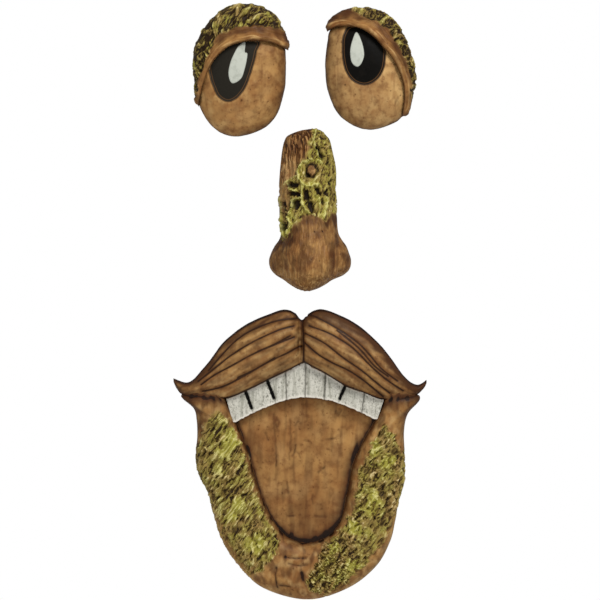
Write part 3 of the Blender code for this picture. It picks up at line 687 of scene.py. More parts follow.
def make_eye(name, at, side, ball_outline, lid_outline, lid_edge, iris_outline, glint_outline, moss_cover):
    eye = make_ball(name, at, side, ball_outline, iris_outline, glint_outline)
    edge = curve_through(scaled(lid_edge, EYE_HALF, at, side), 120)
    lid = make_lid(name + "_lid", at, side, lid_outline, edge, moss_cover)
    far = 3 * EYE_HALF[1]
    below = [(edge[-1][0], at[1] - far), (at[0] + side * far, at[1] - far), (at[0] + side * far, edge[0][1])]
    change(lid, prism_of("opening", [tuple(p) for p in edge] + below, -far, far), "DIFFERENCE")
    change(eye, lid, "UNION")
    cut_back(eye, at, HANG_UP["eye"])
    return eye


def left_moss(x, z, off):
    lip = 3.4 + 6.0 * smooth(-66, -48, x) + 2.0 * noise(joined(x / 5, 0, z / 5), 161)
    brown = smooth(-22.0, -16.0, x) * smooth(278, 266, z)
    return smooth(lip - 0.8, lip + 1.0, off) * (1 - brown)


def right_moss(x, z, off):
    within = inside_by(x, z, RIGHT_LID_MOSS) + 1.6 * noise(joined(x / 5, 0, z / 5), 162)
    return smooth(-0.8, 1.2, within)


# ---------------------------------------------------------------- nose
def nose_form():
    """The plain nose: a round ridge with a lobe at each side, on straight walls."""
    rows, columns = NOSE_GRID
    height, middle, width, depth = (part[:, None] for part in curve_through(NOSE_SECTIONS, rows).T)
    across = -np.cos(math.pi * np.arange(columns + 1) / columns)[None, :]
    wide, deep = width * NOSE_HALF[0], depth * NOSE_DEPTH
    down = np.clip((height - WING_SPAN[0]) / (WING_SPAN[1] - WING_SPAN[0]), 0, 1)
    wing = WING_DEPTH * np.sin(math.pi * down) ** 0.5
    ridge = np.minimum(wide, RIDGE_WIDTH * NOSE_HALF[0])
    s = across * wide
    crest = deep * np.maximum(1 - (s / ridge) ** 2, 0) ** 0.45
    off = (np.abs(s) - wide + WING_RADIUS) / WING_RADIUS
    lobe = wing * np.maximum(1 - off**2, 0) ** 0.5
    y = -((crest**3 + lobe**3) ** (1 / 3))
    front = joined(NOSE_AT[0] + middle * NOSE_HALF[0] + s, y, NOSE_AT[1] + height * NOSE_HALF[1])
    left, right = front[:, :1].copy(), front[:, -1:].copy()
    left[..., 1] = right[..., 1] = BEHIND
    return np.concatenate([left, front, right], 1)


def make_nose():
    grid = nose_form()
    fields = painted(grid)
    x, y, z = np.moveaxis(grid, -1, 0)
    within = inside_by(x, z, NOSE_MOSS)
    cover = smooth(-1.5, 1.5, within + 2.2 * noise(grid / 3.5, 91))
    cover = cover * (1 - 0.8 * smooth(-6.5, -9.0, x + 1.5 * noise(grid / 2.5, 86)) * smooth(152, 158, z))
    bark = smooth(166, 176, z + 3 * noise(grid / 9, 92)) * (1 - cover)
    grooves = strands(z, x + 0.7 * noise(grid / 8, 93), y, 1.0, 9.0, 94)
    holes = spots(x + 1.1 * noise(grid / 1.7, 95), z + 1.1 * noise(grid / 1.7, 96), NOSE_HOLES)
    net = threads(grid, 3.4, 97)
    fine = strands(z, x - 0.15 * z, y, 1.5, 4.0, 99)
    bent_x, bent_z = x + 0.8 * noise(grid / 2.4, 104), z + 0.8 * noise(grid / 2.4, 106)
    swollen = 0.75 + 0.5 * noise(grid / 3, 107)
    ridges = np.zeros(x.shape)
    for line, width in NOSE_RIDGES:
        off = line_distance(bent_x, bent_z, curve_through(line, 16))
        ridges = np.maximum(ridges, bell(off / (width * swollen)))
    gaps = smooth(0.34, 0.55, noise(joined(x / 1.7, y / 3, z / 3.2), 98))
    crest = np.clip(0.16 + 0.20 * net + 0.50 * fine - 0.35 * gaps, 0, 1) * (1 - holes)
    crest = np.clip(crest * (1 - 0.5 * ridges) + 0.95 * ridges, 0, 1)
    # A knot of wood in a ring of moss
    from_knot = np.hypot(x - KNOT[0], (z - KNOT[1]) / 1.12) + 0.9 * noise(grid / 3.2, 108)
    stroke = smooth(-0.2, 0.3, noise(joined((x + z) / 5, (x - z) / 1.3, 0), 109))
    lower_left = smooth(4, -4, x - KNOT[0] + z - KNOT[1])
    ring = (0.35 + 0.4 * lower_left) * bell((from_knot - KNOT_RADIUS) / (0.45 + 0.4 * lower_left))
    moat = (0.55 + 0.45 * lower_left) * bell((from_knot - KNOT_RADIUS + 2.1) / 0.95)
    hollow = spots(x, z, [((KNOT[0] - 2.9, KNOT[1] - 3.3), 1.9, 1.9, 0)])
    core = smooth(3.4, 2.2, from_knot)
    bulb = smooth(152, 140, z)
    dots = pits(joined(x, y, z / 1.8), 2.2, 0.34, 101)
    valley = smooth(0.75, 0.15, grooves)
    under_moss = smooth(-11, -1, within + 3 * noise(grid / 5, 89)) * (1 - cover) * smooth(162, 154, z)
    worn = smooth(196, 188, z) * smooth(-1, -6, x) * smooth(150, 157, z) * (1 - cover)
    relief = cover * (1.9 * crest - 1.2) + 0.9 * ridges - 2.0 * holes - 1.1 * bark * valley
    relief -= 0.30 * (1 - cover) * valley * (1 - bark)
    relief += 0.45 * fractal(grid / 9, 102) - 0.40 * (1 - cover) * dots
    relief += 1.1 * ring - 1.5 * moat - 1.2 * hollow + core * (0.3 + 0.6 * stroke)
    arc = np.abs(np.hypot((x - CRESCENT[0]) / 2.0, (z - CRESCENT[1] + 1.6) / 1.9) - 1)
    relief -= 0.45 * bell(np.where(z > CRESCENT[1] - 0.8, arc, CLEAR) / 0.22)
    fields["tuft"] = np.maximum(cover, ridges) * (1 - core)
    fields["moss"] = fields["tuft"] * np.clip(0.55 + 0.8 * noise(grid / 5, 110) + ridges, 0.1, 1)
    fields["crest"] = np.clip(crest + 0.4 * ring - moat, 0, 1)
    fields["wash_and_shadow"] = np.clip(
        holes + 0.85 * bark * valley * (1 - 0.5 * worn) + 0.30 * (1 - cover) * valley * (1 - bark)
        + 0.7 * (1 - cover) * dots + 0.8 * moat + hollow + 0.22 * under_moss
        + 0.6 * core * (1 - stroke), 0, 1,
    )
    # Painted light: the bulb pales towards its lower end, along its streaks
    lit_bulb = bulb * (0.25 + 0.75 * smooth(0.3, 0.9, grooves)) * (0.10 + 0.80 * smooth(134, 110, z))
    fields["bright"] = np.clip(
        (0.30 + 0.35 * smooth(0.0, 0.6, noise(grid / 7, 103))) * cover + 0.9 * ridges
        + bark * 0.5 * smooth(0.5, 0.9, grooves) + 0.75 * worn * smooth(-0.5, 0.1, noise(grid / 2.2, 84))
        + lit_bulb * smooth(-0.5, 0.3, noise(grid / 4, 85)), 0, 1,
    )
    reddish = smooth(-0.1, 0.45, noise(joined(x / 5, y / 8, z / 9), 88))
    # Painted shade on the steep sides above the tip, beside reddish stains and darker bands below the moss and at
    # the top
    fields["tone_and_shade"] = np.clip(
        0.05 + 0.40 * reddish * (1 - cover) * (1 - worn) * smooth(104, 122, z)
        + 0.15 * bulb * smooth(112, 130, z) + 0.45 * under_moss
        + 0.35 * smooth(196, 212, z + 3 * noise(grid / 3, 87)) * (1 - cover)
        + 0.30 * steepness(grid, False) ** 2 * smooth(118, 126, z), 0, 1,
    )
    # The relief fades out along the back, so that its outline can't cross itself
    relief = relief * smooth(1, 7, from_ends(grid.shape[1]))
    nose = solid_of("nose_look", raised(grid, relief, False), fields)
    cut_back(nose, NOSE_AT, HANG_UP["nose"])
    return nose


# ---------------------------------------------------------------- mouth
def moustache_form():
    """The plain moustache, and the x of its first and last rows."""
    top, bottom = scaled(MOUSTACHE_TOP), scaled(MOUSTACHE_BOTTOM)
    rows, columns = MOUSTACHE_GRID
    even = np.linspace(-1, 1, rows)
    place = np.sign(even) * np.abs(even) ** 1.05
    x = 0.997 * place * MOUTH_HALF[0]
    low, high = height_along(bottom, x)[:, None], height_along(top, x)[:, None]
    crest, edge = (
        MOUSTACHE_HEIGHT * height_along(line, np.abs(place))[:, None] for line in (MOUSTACHE_CREST, MOUSTACHE_EDGE)
    )
    even = np.linspace(0, 1, columns)
    share = (0.35 * (1 - np.cos(math.pi * even)) / 2 + 0.65 * even)[None, :]
    lift = edge + (crest - edge) * np.sin(math.pi * share) ** 0.6
    front = joined(x[:, None], -lift, low + (high - low) * share)

    def side_of(column, part):
        row = front[:, column:column + 1 or None].copy()
        row[..., 1] = BEHIND / 2 * (1 - part) + row[..., 1] * part
        return row

    before = [side_of(0, part) for part in (0.0, 0.33, 0.66)]
    after = [side_of(-1, part) for part in (0.66, 0.33, 0.0)]
    return np.concatenate(before + [front] + after, 1), (x[0], x[-1])


def make_moustache():
    grid, ends = moustache_form()
    fields = painted(grid)
    x, y, z = np.moveaxis(grid, -1, 0)
    lines = nearest_line(x, z, HAIR_LINES, 26)
    parting = np.abs(x - 1.3 - 0.035 * (88 - z))
    tip = smooth(0.95, 1.0, np.abs(x) / MOUTH_HALF[0])
    dots = pits(grid, 2.0, 0.22, 112)
    along = joined(x / 9, y / 3, z / 2.4 + np.abs(x) / 4.6)
    relief = -(0.45 * bell(lines / 0.5) + 0.45 * bell(lines / 2.0)) * (1 - tip)
    relief += 0.15 * fractal(grid / 9, 111) - 0.25 * dots
    relief += 0.10 * noise(along, 113)
    relief -= 0.6 * bell(parting / 1.1)
    rim = from_ends(grid.shape[1])
    below_top = height_along(scaled(MOUSTACHE_TOP), np.clip(x, *ends)) - z
    above_bottom = z - height_along(scaled(MOUSTACHE_BOTTOM), np.clip(x, *ends))
    # Painted shade along the top edge and the rim, and painted shadow along the lower edge above the teeth, beside
    # a dark wash in the hair lines, pits and parting
    fields["wash_and_shadow"] = np.clip(
        0.35 * bell(lines) + 0.55 * dots + 0.85 * bell(parting) + 0.35 * smooth(7.5, 3, rim)
        + 0.9 * smooth(3.0, 0.8, below_top) * smooth(1, 4, rim)
        + 0.9 * smooth(1.7, 0.4, above_bottom) * smooth(1, 4, rim), 0, 1.1,
    )
    fields["cut"] = np.minimum(lines, parting)
    # Painted highlight: the locks are paler between the hair lines and away from the top edge
    pale = 0.25 + 0.65 * smooth(-0.3, 0.4, noise(along, 115))
    fields["bright"] = smooth(0.8, 3.0, lines) * pale * smooth(2, 12, below_top)
    # Painted shade on the steep sides and below the top edge, more on the right half, over random tone
    fields["tone_and_shade"] = np.clip(
        0.34 + 0.30 * noise(along, 114) + 0.8 * steepness(grid, False) ** 1.5 + 0.12 * bell(lines / 2.0)
        + smooth(11, 1, below_top) * (0.25 + 0.35 * (x > 0)), 0, 1,
    )
    return solid_of("moustache", raised(grid, relief, False), fields)


def make_teeth():
    bottom, roots = scaled(TEETH_BOTTOM), scaled(MOUSTACHE_BOTTOM)
    rows, columns = TEETH_GRID
    x = np.linspace(bottom[0][0] - TEETH_BED, bottom[-1][0] + TEETH_BED, rows)
    low = height_along(bottom, x)
    root_x = TEETH_MIDDLE + (x - TEETH_MIDDLE) * TEETH_FAN
    high = height_along(roots, root_x) + TEETH_ROOT
    t = np.linspace(0, 1, columns)
    ragged = 0.35 * noise(joined(x / 2.1, 0, 0), 121) + 0.2 * noise(joined(x / 0.9, 0, 0), 126)
    front = joined(
        root_x[:, None] + (x - root_x)[:, None] * t, -TEETH_HEIGHT,
        high[:, None] + (low + ragged - high)[:, None] * t,
    )
    chamfer = front[:, -1:] + np.array([0, 1.0, -0.25])
    root, foot = front[:, :1].copy(), chamfer.copy()
    root[..., 1] = foot[..., 1] = -FLOOR_THICKNESS / 3
    grid = np.concatenate([root, front, chamfer, foot], 1)
    fields = painted(grid)
    down = np.concatenate([[0], t, [1, 1]])[None, :]
    x, y, z = np.moveaxis(grid, -1, 0)
    shift = 0.25 * noise(grid / 1.6, 125)
    gap_depth, from_gap = np.zeros(x.shape), np.full(x.shape, FAR)
    for top_x, bottom_x, width, depth, until in TOOTH_GAPS:
        off = np.abs(x + shift - top_x - (bottom_x - top_x) * down)
        here = depth * (1 - smooth(0.35 * width, 0.5 * width + 0.28, off))
        gap_depth = np.maximum(gap_depth, here * smooth(until + 0.03, until - 0.05, down))
        from_gap = np.minimum(from_gap, off)
    jitter = 0.25 * noise(grid / 2.4, 122) + 0.16 * noise(grid / 0.9, 123)
    streaks = noise(joined(x / 0.9, y, z / 3.5), 124)
    sunk = gap_depth - 0.5 * smooth(0, 2.5, from_gap) - jitter - 0.12 * streaks
    grid[:, 1:-2, 1] += sunk[:, 1:-2]
    dark = smooth(0.5, 1.8, gap_depth)
    fields["tooth"][:] = 1
    fields["wash_and_shadow"] = dark + 0.35 * smooth(0.9, 0.1, from_gap) * (1 - dark)
    fields["crest"] = 0.5 + 0.35 * streaks + 0.9 * jitter
    fields["bright"] = np.broadcast_to(smooth(0.90, 0.97, down) + smooth(0.19, 0.14, down), x.shape)
    return solid_of("teeth", grid, fields)


def make_floor():
    """The sunk floor of the mouth, which runs into the walls round it."""
    outline = curve_through(scaled(MOUTH_OUTLINE), 400, closed=True)
    rows, columns = FLOOR_GRID
    z = np.linspace(*FLOOR_SPAN, rows)
    walls = []
    for part in (outline[:, 0] < FLOOR_MIDDLE, outline[:, 0] > FLOOR_MIDDLE):
        part = outline[part][np.argsort(outline[part][:, 1])]
        walls.append(np.interp(np.maximum(z, FLOOR_NARROWEST), part[:, 1], part[:, 0])[:, None])
    x = walls[0] - FLOOR_BED + (walls[1] - walls[0] + 2 * FLOOR_BED) * np.linspace(0, 1, columns)
    front = joined(x, -FLOOR_THICKNESS, z[:, None])
    ends = [front[:, :1].copy(), front[:, -1:].copy()]
    for end in ends:
        end[..., 1] = -FLOOR_THICKNESS / 2
    grid = np.concatenate([ends[0], front, ends[1]], 1)
    fields = painted(grid)
    x, _, z = np.moveaxis(grid, -1, 0)
    grain = joined(x / 3.0, z / 22, 0)
    streak = noise(grain + 0.2 * noise(grid / 14, 147)[..., None], 148)
    knots = pits(joined(x, 0, z / 1.6), 3.0, 0.24, 149)
    mark = bell(nearest_line(x + 0.7 * noise(grid / 2.5, 153), z, FLOOR_MARKS) / 0.65)
    off_wall = inside_by(x, z, scaled(MOUTH_OUTLINE), 120) + 0.7 * noise(grid / 4, 156)
    shadow = 2.8 + 4.0 * smooth(5, 25, x) * smooth(30, 8, z) + 4.2 * smooth(-38, -55, z)
    under_teeth = height_along(scaled(TEETH_BOTTOM), np.clip(x, -41, 47)) - z
    relief = 0.20 * streak - 0.35 * knots + 0.10 * fractal(grid / 4, 150) - 0.35 * mark
    grid[:, 1:-1, 1] -= relief[:, 1:-1]
    # Painted shadow along the walls and under the teeth, beside a dark wash in the grain, knots and marks
    fields["wash_and_shadow"] = np.clip(
        0.35 * smooth(0.15, 0.7, streak) + 0.6 * knots + 0.55 * mark
        + (0.95 + 0.3 * smooth(-38, -50, z)) * smooth(1.25 * shadow, 0, off_wall) ** 1.4
        + 0.5 * smooth(2.5, 0, under_teeth), 0, 1.3,
    )
    fields["tone_and_shade"] = np.clip(0.22 + 0.22 * noise(grid / 8, 155) + 0.25 * smooth(-20, -52, z), 0, 1)
    fields["bright"] = 0.3 * smooth(-0.1, 0.6, noise(joined(x / 9, z / 16, 0), 157))
    return solid_of("mouth_floor", grid, fields)


def make_jaw():
    centre = (JAW_CENTRE[0] * MOUTH_HALF[0], JAW_CENTRE[1] * MOUTH_HALF[1])
    outer, inner = (reach_of(scaled(outline), centre) for outline in (JAW_OUTLINE, MOUTH_OUTLINE))
    frame_rings, (seen, hidden) = JAW_GRID
    floor_rings, side_rows = 5, 8

    def swell_of(past, angle):
        swell = np.maximum(1 - np.abs(2 * past - 1) ** 2.6, 0) ** 0.5
        return swell * (1 - JAW_TUCK * np.maximum(np.sin(angle), 0) ** 4)

    def height(step, angle):
        near, far = inner(angle), outer(angle)
        past = (1 - np.cos(math.pi * np.clip((step - floor_rings) / frame_rings, 0, 1))) / 2
        out = np.where(step < floor_rings, near * step / floor_rings, near + (far - near) * past)
        base = FLOOR_THICKNESS + (JAW_RIM - FLOOR_THICKNESS) * past
        y = -base - (JAW_BULGE - MOSS_LUMP / 2) * swell_of(past, angle)
        return out, np.where(step <= floor_rings, -FLOOR_THICKNESS + FLOOR_SINK, y)

    # Fewer columns run to the part that the moustache hides
    angles = np.concatenate([
        np.linspace(-math.pi - JAW_SHOWS, JAW_SHOWS, seen, endpoint=False),
        np.linspace(JAW_SHOWS, math.pi - JAW_SHOWS, hidden, endpoint=False),
    ])
    steps = np.concatenate([[0.2, 1.5, 3.0, 4.2, 4.8], floor_rings + np.arange(frame_rings + 1.0)])
    grid = polar(centre, steps, angles, height, BEHIND, side_rows)
    fields = painted(grid)
    x, y, z = np.moveaxis(grid, -1, 0)
    row = np.arange(len(grid))[:, None]
    on_frame = row > floor_rings
    past = np.clip((row - floor_rings) / frame_rings, 0, 1)
    swell = swell_of((1 - np.cos(math.pi * past)) / 2, angles[None, :]) * on_frame
    side = smooth(len(grid) - side_rows - 1, len(grid) - 5, row)
    low = smooth(-20, -55, z)

    # Where the beard grows, and where its moss is bright or missing
    wobble = 1.8 * noise(grid / 4, 131) + 1.2 * noise(grid / 1.8, 132)
    left = smooth(-0.8, 1.6, inside_by(x, z, BEARD_LEFT_EDGE) + wobble) * (x < 0)
    right = smooth(-0.8, 1.6, inside_by(x, z, BEARD_RIGHT_EDGE) + wobble) * (x > 0)
    cover = np.maximum(left, right) * on_frame
    band = 1 - cover
    tan_rim = 0.8 * smooth(0.80, 0.97, past + 0.05 * noise(grid / 3, 138)) * smooth(0, 12, np.abs(x))
    bare = spots(x + 1.7 * noise(grid / 2.2, 133), z + 1.7 * noise(grid / 2.2, 134), BARE_MOSS)
    bright = spots(x + 2.2 * noise(grid / 3, 135), z + 2.2 * noise(grid / 3, 136), BRIGHT_MOSS)

    # Straight strands on the left, curls elsewhere and tight ones on the chin
    u = x * math.cos(BEARD_LEAN) + z * math.sin(BEARD_LEAN)
    v = z * math.cos(BEARD_LEAN) - x * math.sin(BEARD_LEAN)
    long = strands(u, v, y, 1.75, 4.4, 141)
    short = strands(u, v, y, 2.2, 1.9, 161)
    curly = np.clip(0.50 * short + 0.60 * threads(grid, 3.6, 142), 0, 1)
    tight = threads(grid, 2.0, 143)
    straight = smooth(-54, -40, z + 5 * noise(grid / 8, 139)) * (x < 0)
    straight = np.maximum(straight, 0.7 * smooth(-34, -44, z) * (x > 44))
    dense = smooth(-48, -58, z) * (x > 0) * smooth(42, 26, x)
    crest = 0.20 + 0.80 * ((straight * long + (1 - straight) * curly) * (1 - dense) + dense * tight)
    gap = -noise(joined(u / 5.0, v / 2.1, y / 6), 144)
    gap = smooth(0.34 - 0.10 * (x > 0), 0.50 - 0.08 * (x > 0), gap)
    crest = np.clip(crest * (1 - 0.8 * gap) * (1 - 0.6 * bare) + 0.20 * bright, 0, 1)

    lump = MOSS_LUMP * np.clip(lumps(grid), 0, 1) * swell
    calm = 1 - 0.5 * smooth(0.78, 0.95, past)
    dots = pits(grid, 2.2, 0.26, 146)
    creases = nearest_line(x + 0.4 * noise(grid / 3, 152), z, CHIN_CREASES, 12)
    under = line_distance(x, z, curve_through(scaled(MOUSTACHE_BOTTOM), 80))
    dimple = bell((x + 9.5) / 1.3) * smooth(-88, -80, z) * smooth(-70, -76, z)
    relief = cover * (lump + (2.2 * crest - 1.5) * (1 - 0.75 * side) - 0.7 * np.maximum(gap, bare)) * calm
    relief += band * swell * (0.35 * fractal(grid / 9, 145) - 0.3 * dots)
    relief -= 0.75 * bell(creases / 0.8) + 0.5 * dimple + bell(under / 1.3) * on_frame
    relief = np.where(on_frame, relief, 0)

    green = np.clip(0.55 + 0.9 * noise(grid / 7, 154) + 0.7 * bright, 0.1, 1)
    fields["moss"] = cover * (1 - 0.7 * bare) * (1 - tan_rim) * green
    faded = smooth(0.70, 0.95, past + 0.16 * noise(joined(u / 9, v / 2, y / 5), 160)) * low
    fields["tuft"] = cover * (1 - 0.8 * faded)
    fields["crest"] = np.where(cover > 0.02, crest, PLAIN["crest"])
    fields["bright"] = np.clip(
        cover * (0.8 * bright + 0.3 * smooth(-0.1, 0.6, noise(grid / 6, 151)))
        + 0.75 * tan_rim * smooth(10, -20, z) + band * 0.65 * smooth(-0.1, 0.4, noise(grid / 5, 158)), 0, 1,
    )
    reddish = smooth(0.0, 0.5, noise(joined(x / 3.5, y / 6, z / 9), 159)) * band
    # Painted shadow under the moustache and in the inner corner by the mouth, beside a dark wash in creases, pits
    # and reddish stains
    fields["wash_and_shadow"] = np.clip(
        0.6 * bell(creases) + 0.5 * band * dots + 0.60 * reddish * smooth(0.98, 0.80, past)
        + 0.85 * smooth(0.20, 0.0, past) + 0.15 * cover * bare + 0.95 * bell(under / 1.5), 0, 1.2,
    )
    fields["cut"] = creases + 0.3
    # Painted shade on the steep sides and at the inner rim, and painted shadow below the moustache and towards its
    # top, over random tone
    fields["tone_and_shade"] = np.clip(
        0.20 * band + 0.25 * smooth(14, 40, z) + 0.40 * bell(under / 5.0) * band + 0.22 * noise(grid / 8, 155)
        + 0.50 * steepness(grid, True) ** 1.3 * (1 - 0.7 * low) + 0.35 * band * smooth(0.25, 0.05, past), 0, 1,
    )
    return solid_of("mouth_look", raised(grid, relief, True), fields)


def make_mouth():
    mouth = make_jaw()
    for part in (make_floor(), make_teeth(), make_moustache()):
        change(mouth, part, "UNION")
    cut_back(mouth, (0.0, 0.0), HANG_UP["mouth"])
    return mouth


# ---------------------------------------------------------------- paint
def linear(colour):
    return tuple((c / 255 / 12.92) if c <= 10 else ((c / 255 + 0.055) / 1.055) ** 2.4 for c in colour) + (1.0,)


class Paint:
    """A node tree written as a formula. Colours are sockets, or red, green and blue up to 255."""

    def __init__(self, material):
        self.tree = material.node_tree
        self.shader = self.tree.nodes["Principled BSDF"]

    def node(self, kind, values=(), **settings):
        made = self.tree.nodes.new(kind)
        for key, value in settings.items():
            setattr(made, key, value)
        for key, value in values:
            if isinstance(value, bpy.types.NodeSocket):
                self.tree.links.new(value, made.inputs[key])
            else:
                made.inputs[key].default_value = value
        return made

    def attribute(self, name):
        return self.node("ShaderNodeAttribute", attribute_name=name).outputs["Fac"]

    def math(self, operation, a, b=0.0):
        return self.node("ShaderNodeMath", [(0, a), (1, b)], operation=operation).outputs[0]

    def times(self, a, b):
        return self.math("MULTIPLY", a, b)

    def plus(self, a, b):
        return self.math("ADD", a, b)

    def from_middle(self, value):
        return self.math("SUBTRACT", value, 0.5)

    def vein(self, *noise):
        """0 along thin lines, rising beside them."""
        return self.math("ABSOLUTE", self.from_middle(self.noise(*noise)))

    def ramp(self, value, low, high, to_low=0.0, to_high=1.0):
        values = [("Value", value), ("From Min", low), ("From Max", high), ("To Min", to_low), ("To Max", to_high)]
        return self.node("ShaderNodeMapRange", values, interpolation_type="SMOOTHSTEP").outputs["Result"]

    def mix(self, share, a, b):
        a, b = (linear(colour) if isinstance(colour, tuple) else colour for colour in (a, b))
        return self.node("ShaderNodeMix", [(0, share), (6, a), (7, b)], data_type="RGBA").outputs[2]

    def coats(self, colour, coats):
        """A colour under coats given as (share, colour), the lowest first."""
        for share, coat in coats:
            colour = self.mix(share, colour, coat)
        return colour

    def noise(self, scale, detail=3.0, stretch=(1, 1, 1), rough=0.55, turn=0.0):
        place = self.node("ShaderNodeTexCoord").outputs["Object"]
        if turn:
            values = [("Vector", place), ("Angle", turn)]
            place = self.node("ShaderNodeVectorRotate", values, rotation_type="Y_AXIS").outputs["Vector"]
        mapped = self.node("ShaderNodeMapping", [("Vector", place), ("Scale", stretch)]).outputs["Vector"]
        values = [("Vector", mapped), ("Scale", scale), ("Detail", detail), ("Roughness", rough)]
        return self.node("ShaderNodeTexNoise", values).outputs["Fac"]


def resin(name, gloss):
    """Stained resin with a dark wash and painted shadow in its hollows, painted shade and highlights, dry-brushed
    moss and painted irises and teeth.
    """
    material = bpy.data.materials.new(name)
    material.use_nodes = True
    p = Paint(material)
    moss, crest, wash_and_shadow, tuft, iris, glint, tooth, bright, tone_and_shade, cut = (p.attribute(key) for key in PLAIN)
    fine, specks = p.noise(260, 4.0), p.noise(520, 2.0)
    grain = p.noise(300, 3.0, (1, 1, 0.12))

    def ragged(value, size):
        """The value, so uneven that paint ends in a ragged edge."""
        return p.plus(value, p.times(p.from_middle(fine), size))

    # Tan stain, mottled and speckled, with paler paint and painted highlights, painted shade, and a dark wash that
    # also paints shadow
    tan = p.mix(p.ramp(p.noise(38, 4.0), 0.38, 0.62), (150, 104, 56), (177, 132, 76))
    dark = p.mix(p.ramp(fine, 0.3, 0.7), (40, 20, 8), (84, 46, 20))
    tan = p.coats(tan, [
        (p.times(bright, 0.85), (200, 162, 106)),
        (p.ramp(p.noise(110, 4.0), 0.46, 0.72, 0, 0.55), (122, 74, 36)),
        (p.ramp(fine, 0.46, 0.75, 0, 0.5), (104, 60, 28)),
        (p.ramp(grain, 0.50, 0.72, 0, 0.35), (104, 62, 30)),
        (p.ramp(specks, 0.66, 0.74, 0, 0.5), (84, 46, 20)),
        # Painted shade over random tone, then a dark wash that also paints shadow
        (p.ramp(p.plus(tone_and_shade, p.times(fine, 0.25)), 0.1, 1.1, 0, 0.92), (62, 34, 14)),
        (p.times(wash_and_shadow, p.ramp(fine, 0.25, 0.55, 0.75, 1.0)), dark),
        (p.ramp(p.plus(wash_and_shadow, p.times(fine, 0.2)), 0.85, 1.1, 0, 0.85), (22, 11, 5)),
        (p.ramp(ragged(cut, 0.7), 0.90, 0.25, 0, 0.95), (44, 22, 8)),
    ])

    # The moss is the same resin, dark in its gaps, partly as painted shade, and brushed olive on its crests with
    # cream tips that are partly painted highlight
    hairs = p.vein(430, 1.5, (0.24, 0.6, 1), 0.5, 0.98)
    clefts = p.vein(260, 1.5, (0.28, 0.6, 1), 0.5, 0.85)
    knap = p.plus(ragged(crest, 0.45), p.ramp(hairs, 0.07, 0.0, -0.05, 0.30))
    deep = p.times(p.ramp(clefts, 0.035, 0.0, 0.0, -0.42), p.ramp(bright, 0.1, 0.6, 1.0, 0.25))
    knap = p.plus(knap, deep)
    middle = p.mix(moss, (148, 119, 70), (144, 133, 60))
    middle = p.mix(p.times(bright, 0.7), middle, (164, 158, 60))
    tips = p.mix(moss, (214, 192, 140), (204, 196, 122))
    stem = p.coats(p.mix(p.ramp(knap, -0.02, 0.24), (40, 25, 8), (98, 79, 34)), [
        (p.ramp(knap, 0.18, 0.50), middle),
        (p.ramp(knap, 0.66, 1.10), tips),
        (p.times(wash_and_shadow, 0.9), (26, 16, 7)),
    ])

    enamel = p.coats(p.mix(p.ramp(grain, 0.42, 0.72), (204, 201, 188), (160, 158, 144)), [
        (p.ramp(p.vein(420, 2.0), 0.035, 0.0, 0, 0.45), (104, 100, 88)),
        (p.ramp(specks, 0.62, 0.70, 0, 0.5), (84, 80, 70)),
        (p.ramp(crest, 0.42, 0.12), (122, 120, 108)),
        (p.times(bright, 0.8), (226, 220, 208)),
        (p.times(wash_and_shadow, 0.97), (12, 9, 7)),
    ])

    # Black irises with a brown ring and a pale highlight
    edge = ragged(iris, 0.5)
    black = p.mix(bright, (6, 5, 4), (40, 37, 31))
    black = p.mix(p.ramp(fine, 0.45, 0.75, 0, 0.25), black, (30, 26, 21))
    ring = p.times(p.ramp(edge, 0.65, 0.9), p.ramp(edge, 1.45, 1.15))
    shine = p.mix(p.ramp(fine, 0.45, 0.75), (187, 190, 178), (166, 169, 157))
    colour = p.coats(tan, [
        (tuft, stem),
        (tooth, enamel),
        (p.ramp(edge, -0.9, -0.3, 0, 0.8), (44, 25, 11)),
        (p.ramp(edge, -0.15, 0.25), black),
        (p.times(ring, 0.5), (112, 78, 46)),
        (p.ramp(ragged(glint, 0.35), -0.12, 0.2), shine),
    ])
    rough = p.plus(p.ramp(fine, 0.2, 0.8, 0.44, 0.62), p.times(tuft, 0.10))
    height = p.plus(p.times(fine, 0.5), p.times(grain, 0.5))
    bump = p.node("ShaderNodeBump", [("Strength", 0.4), ("Distance", 0.0006), ("Height", height)])
    for socket, value in (("Base Color", colour), ("Roughness", rough), ("Normal", bump.outputs["Normal"])):
        p.tree.links.new(value, p.shader.inputs[socket])
    p.shader.inputs["Specular IOR Level"].default_value = gloss
    return material


# ---------------------------------------------------------------- the set
def read(data, key, kind=np.float32, width=1):
    values = np.empty(width * len(data), kind)
    data.foreach_get(key, values)
    return values


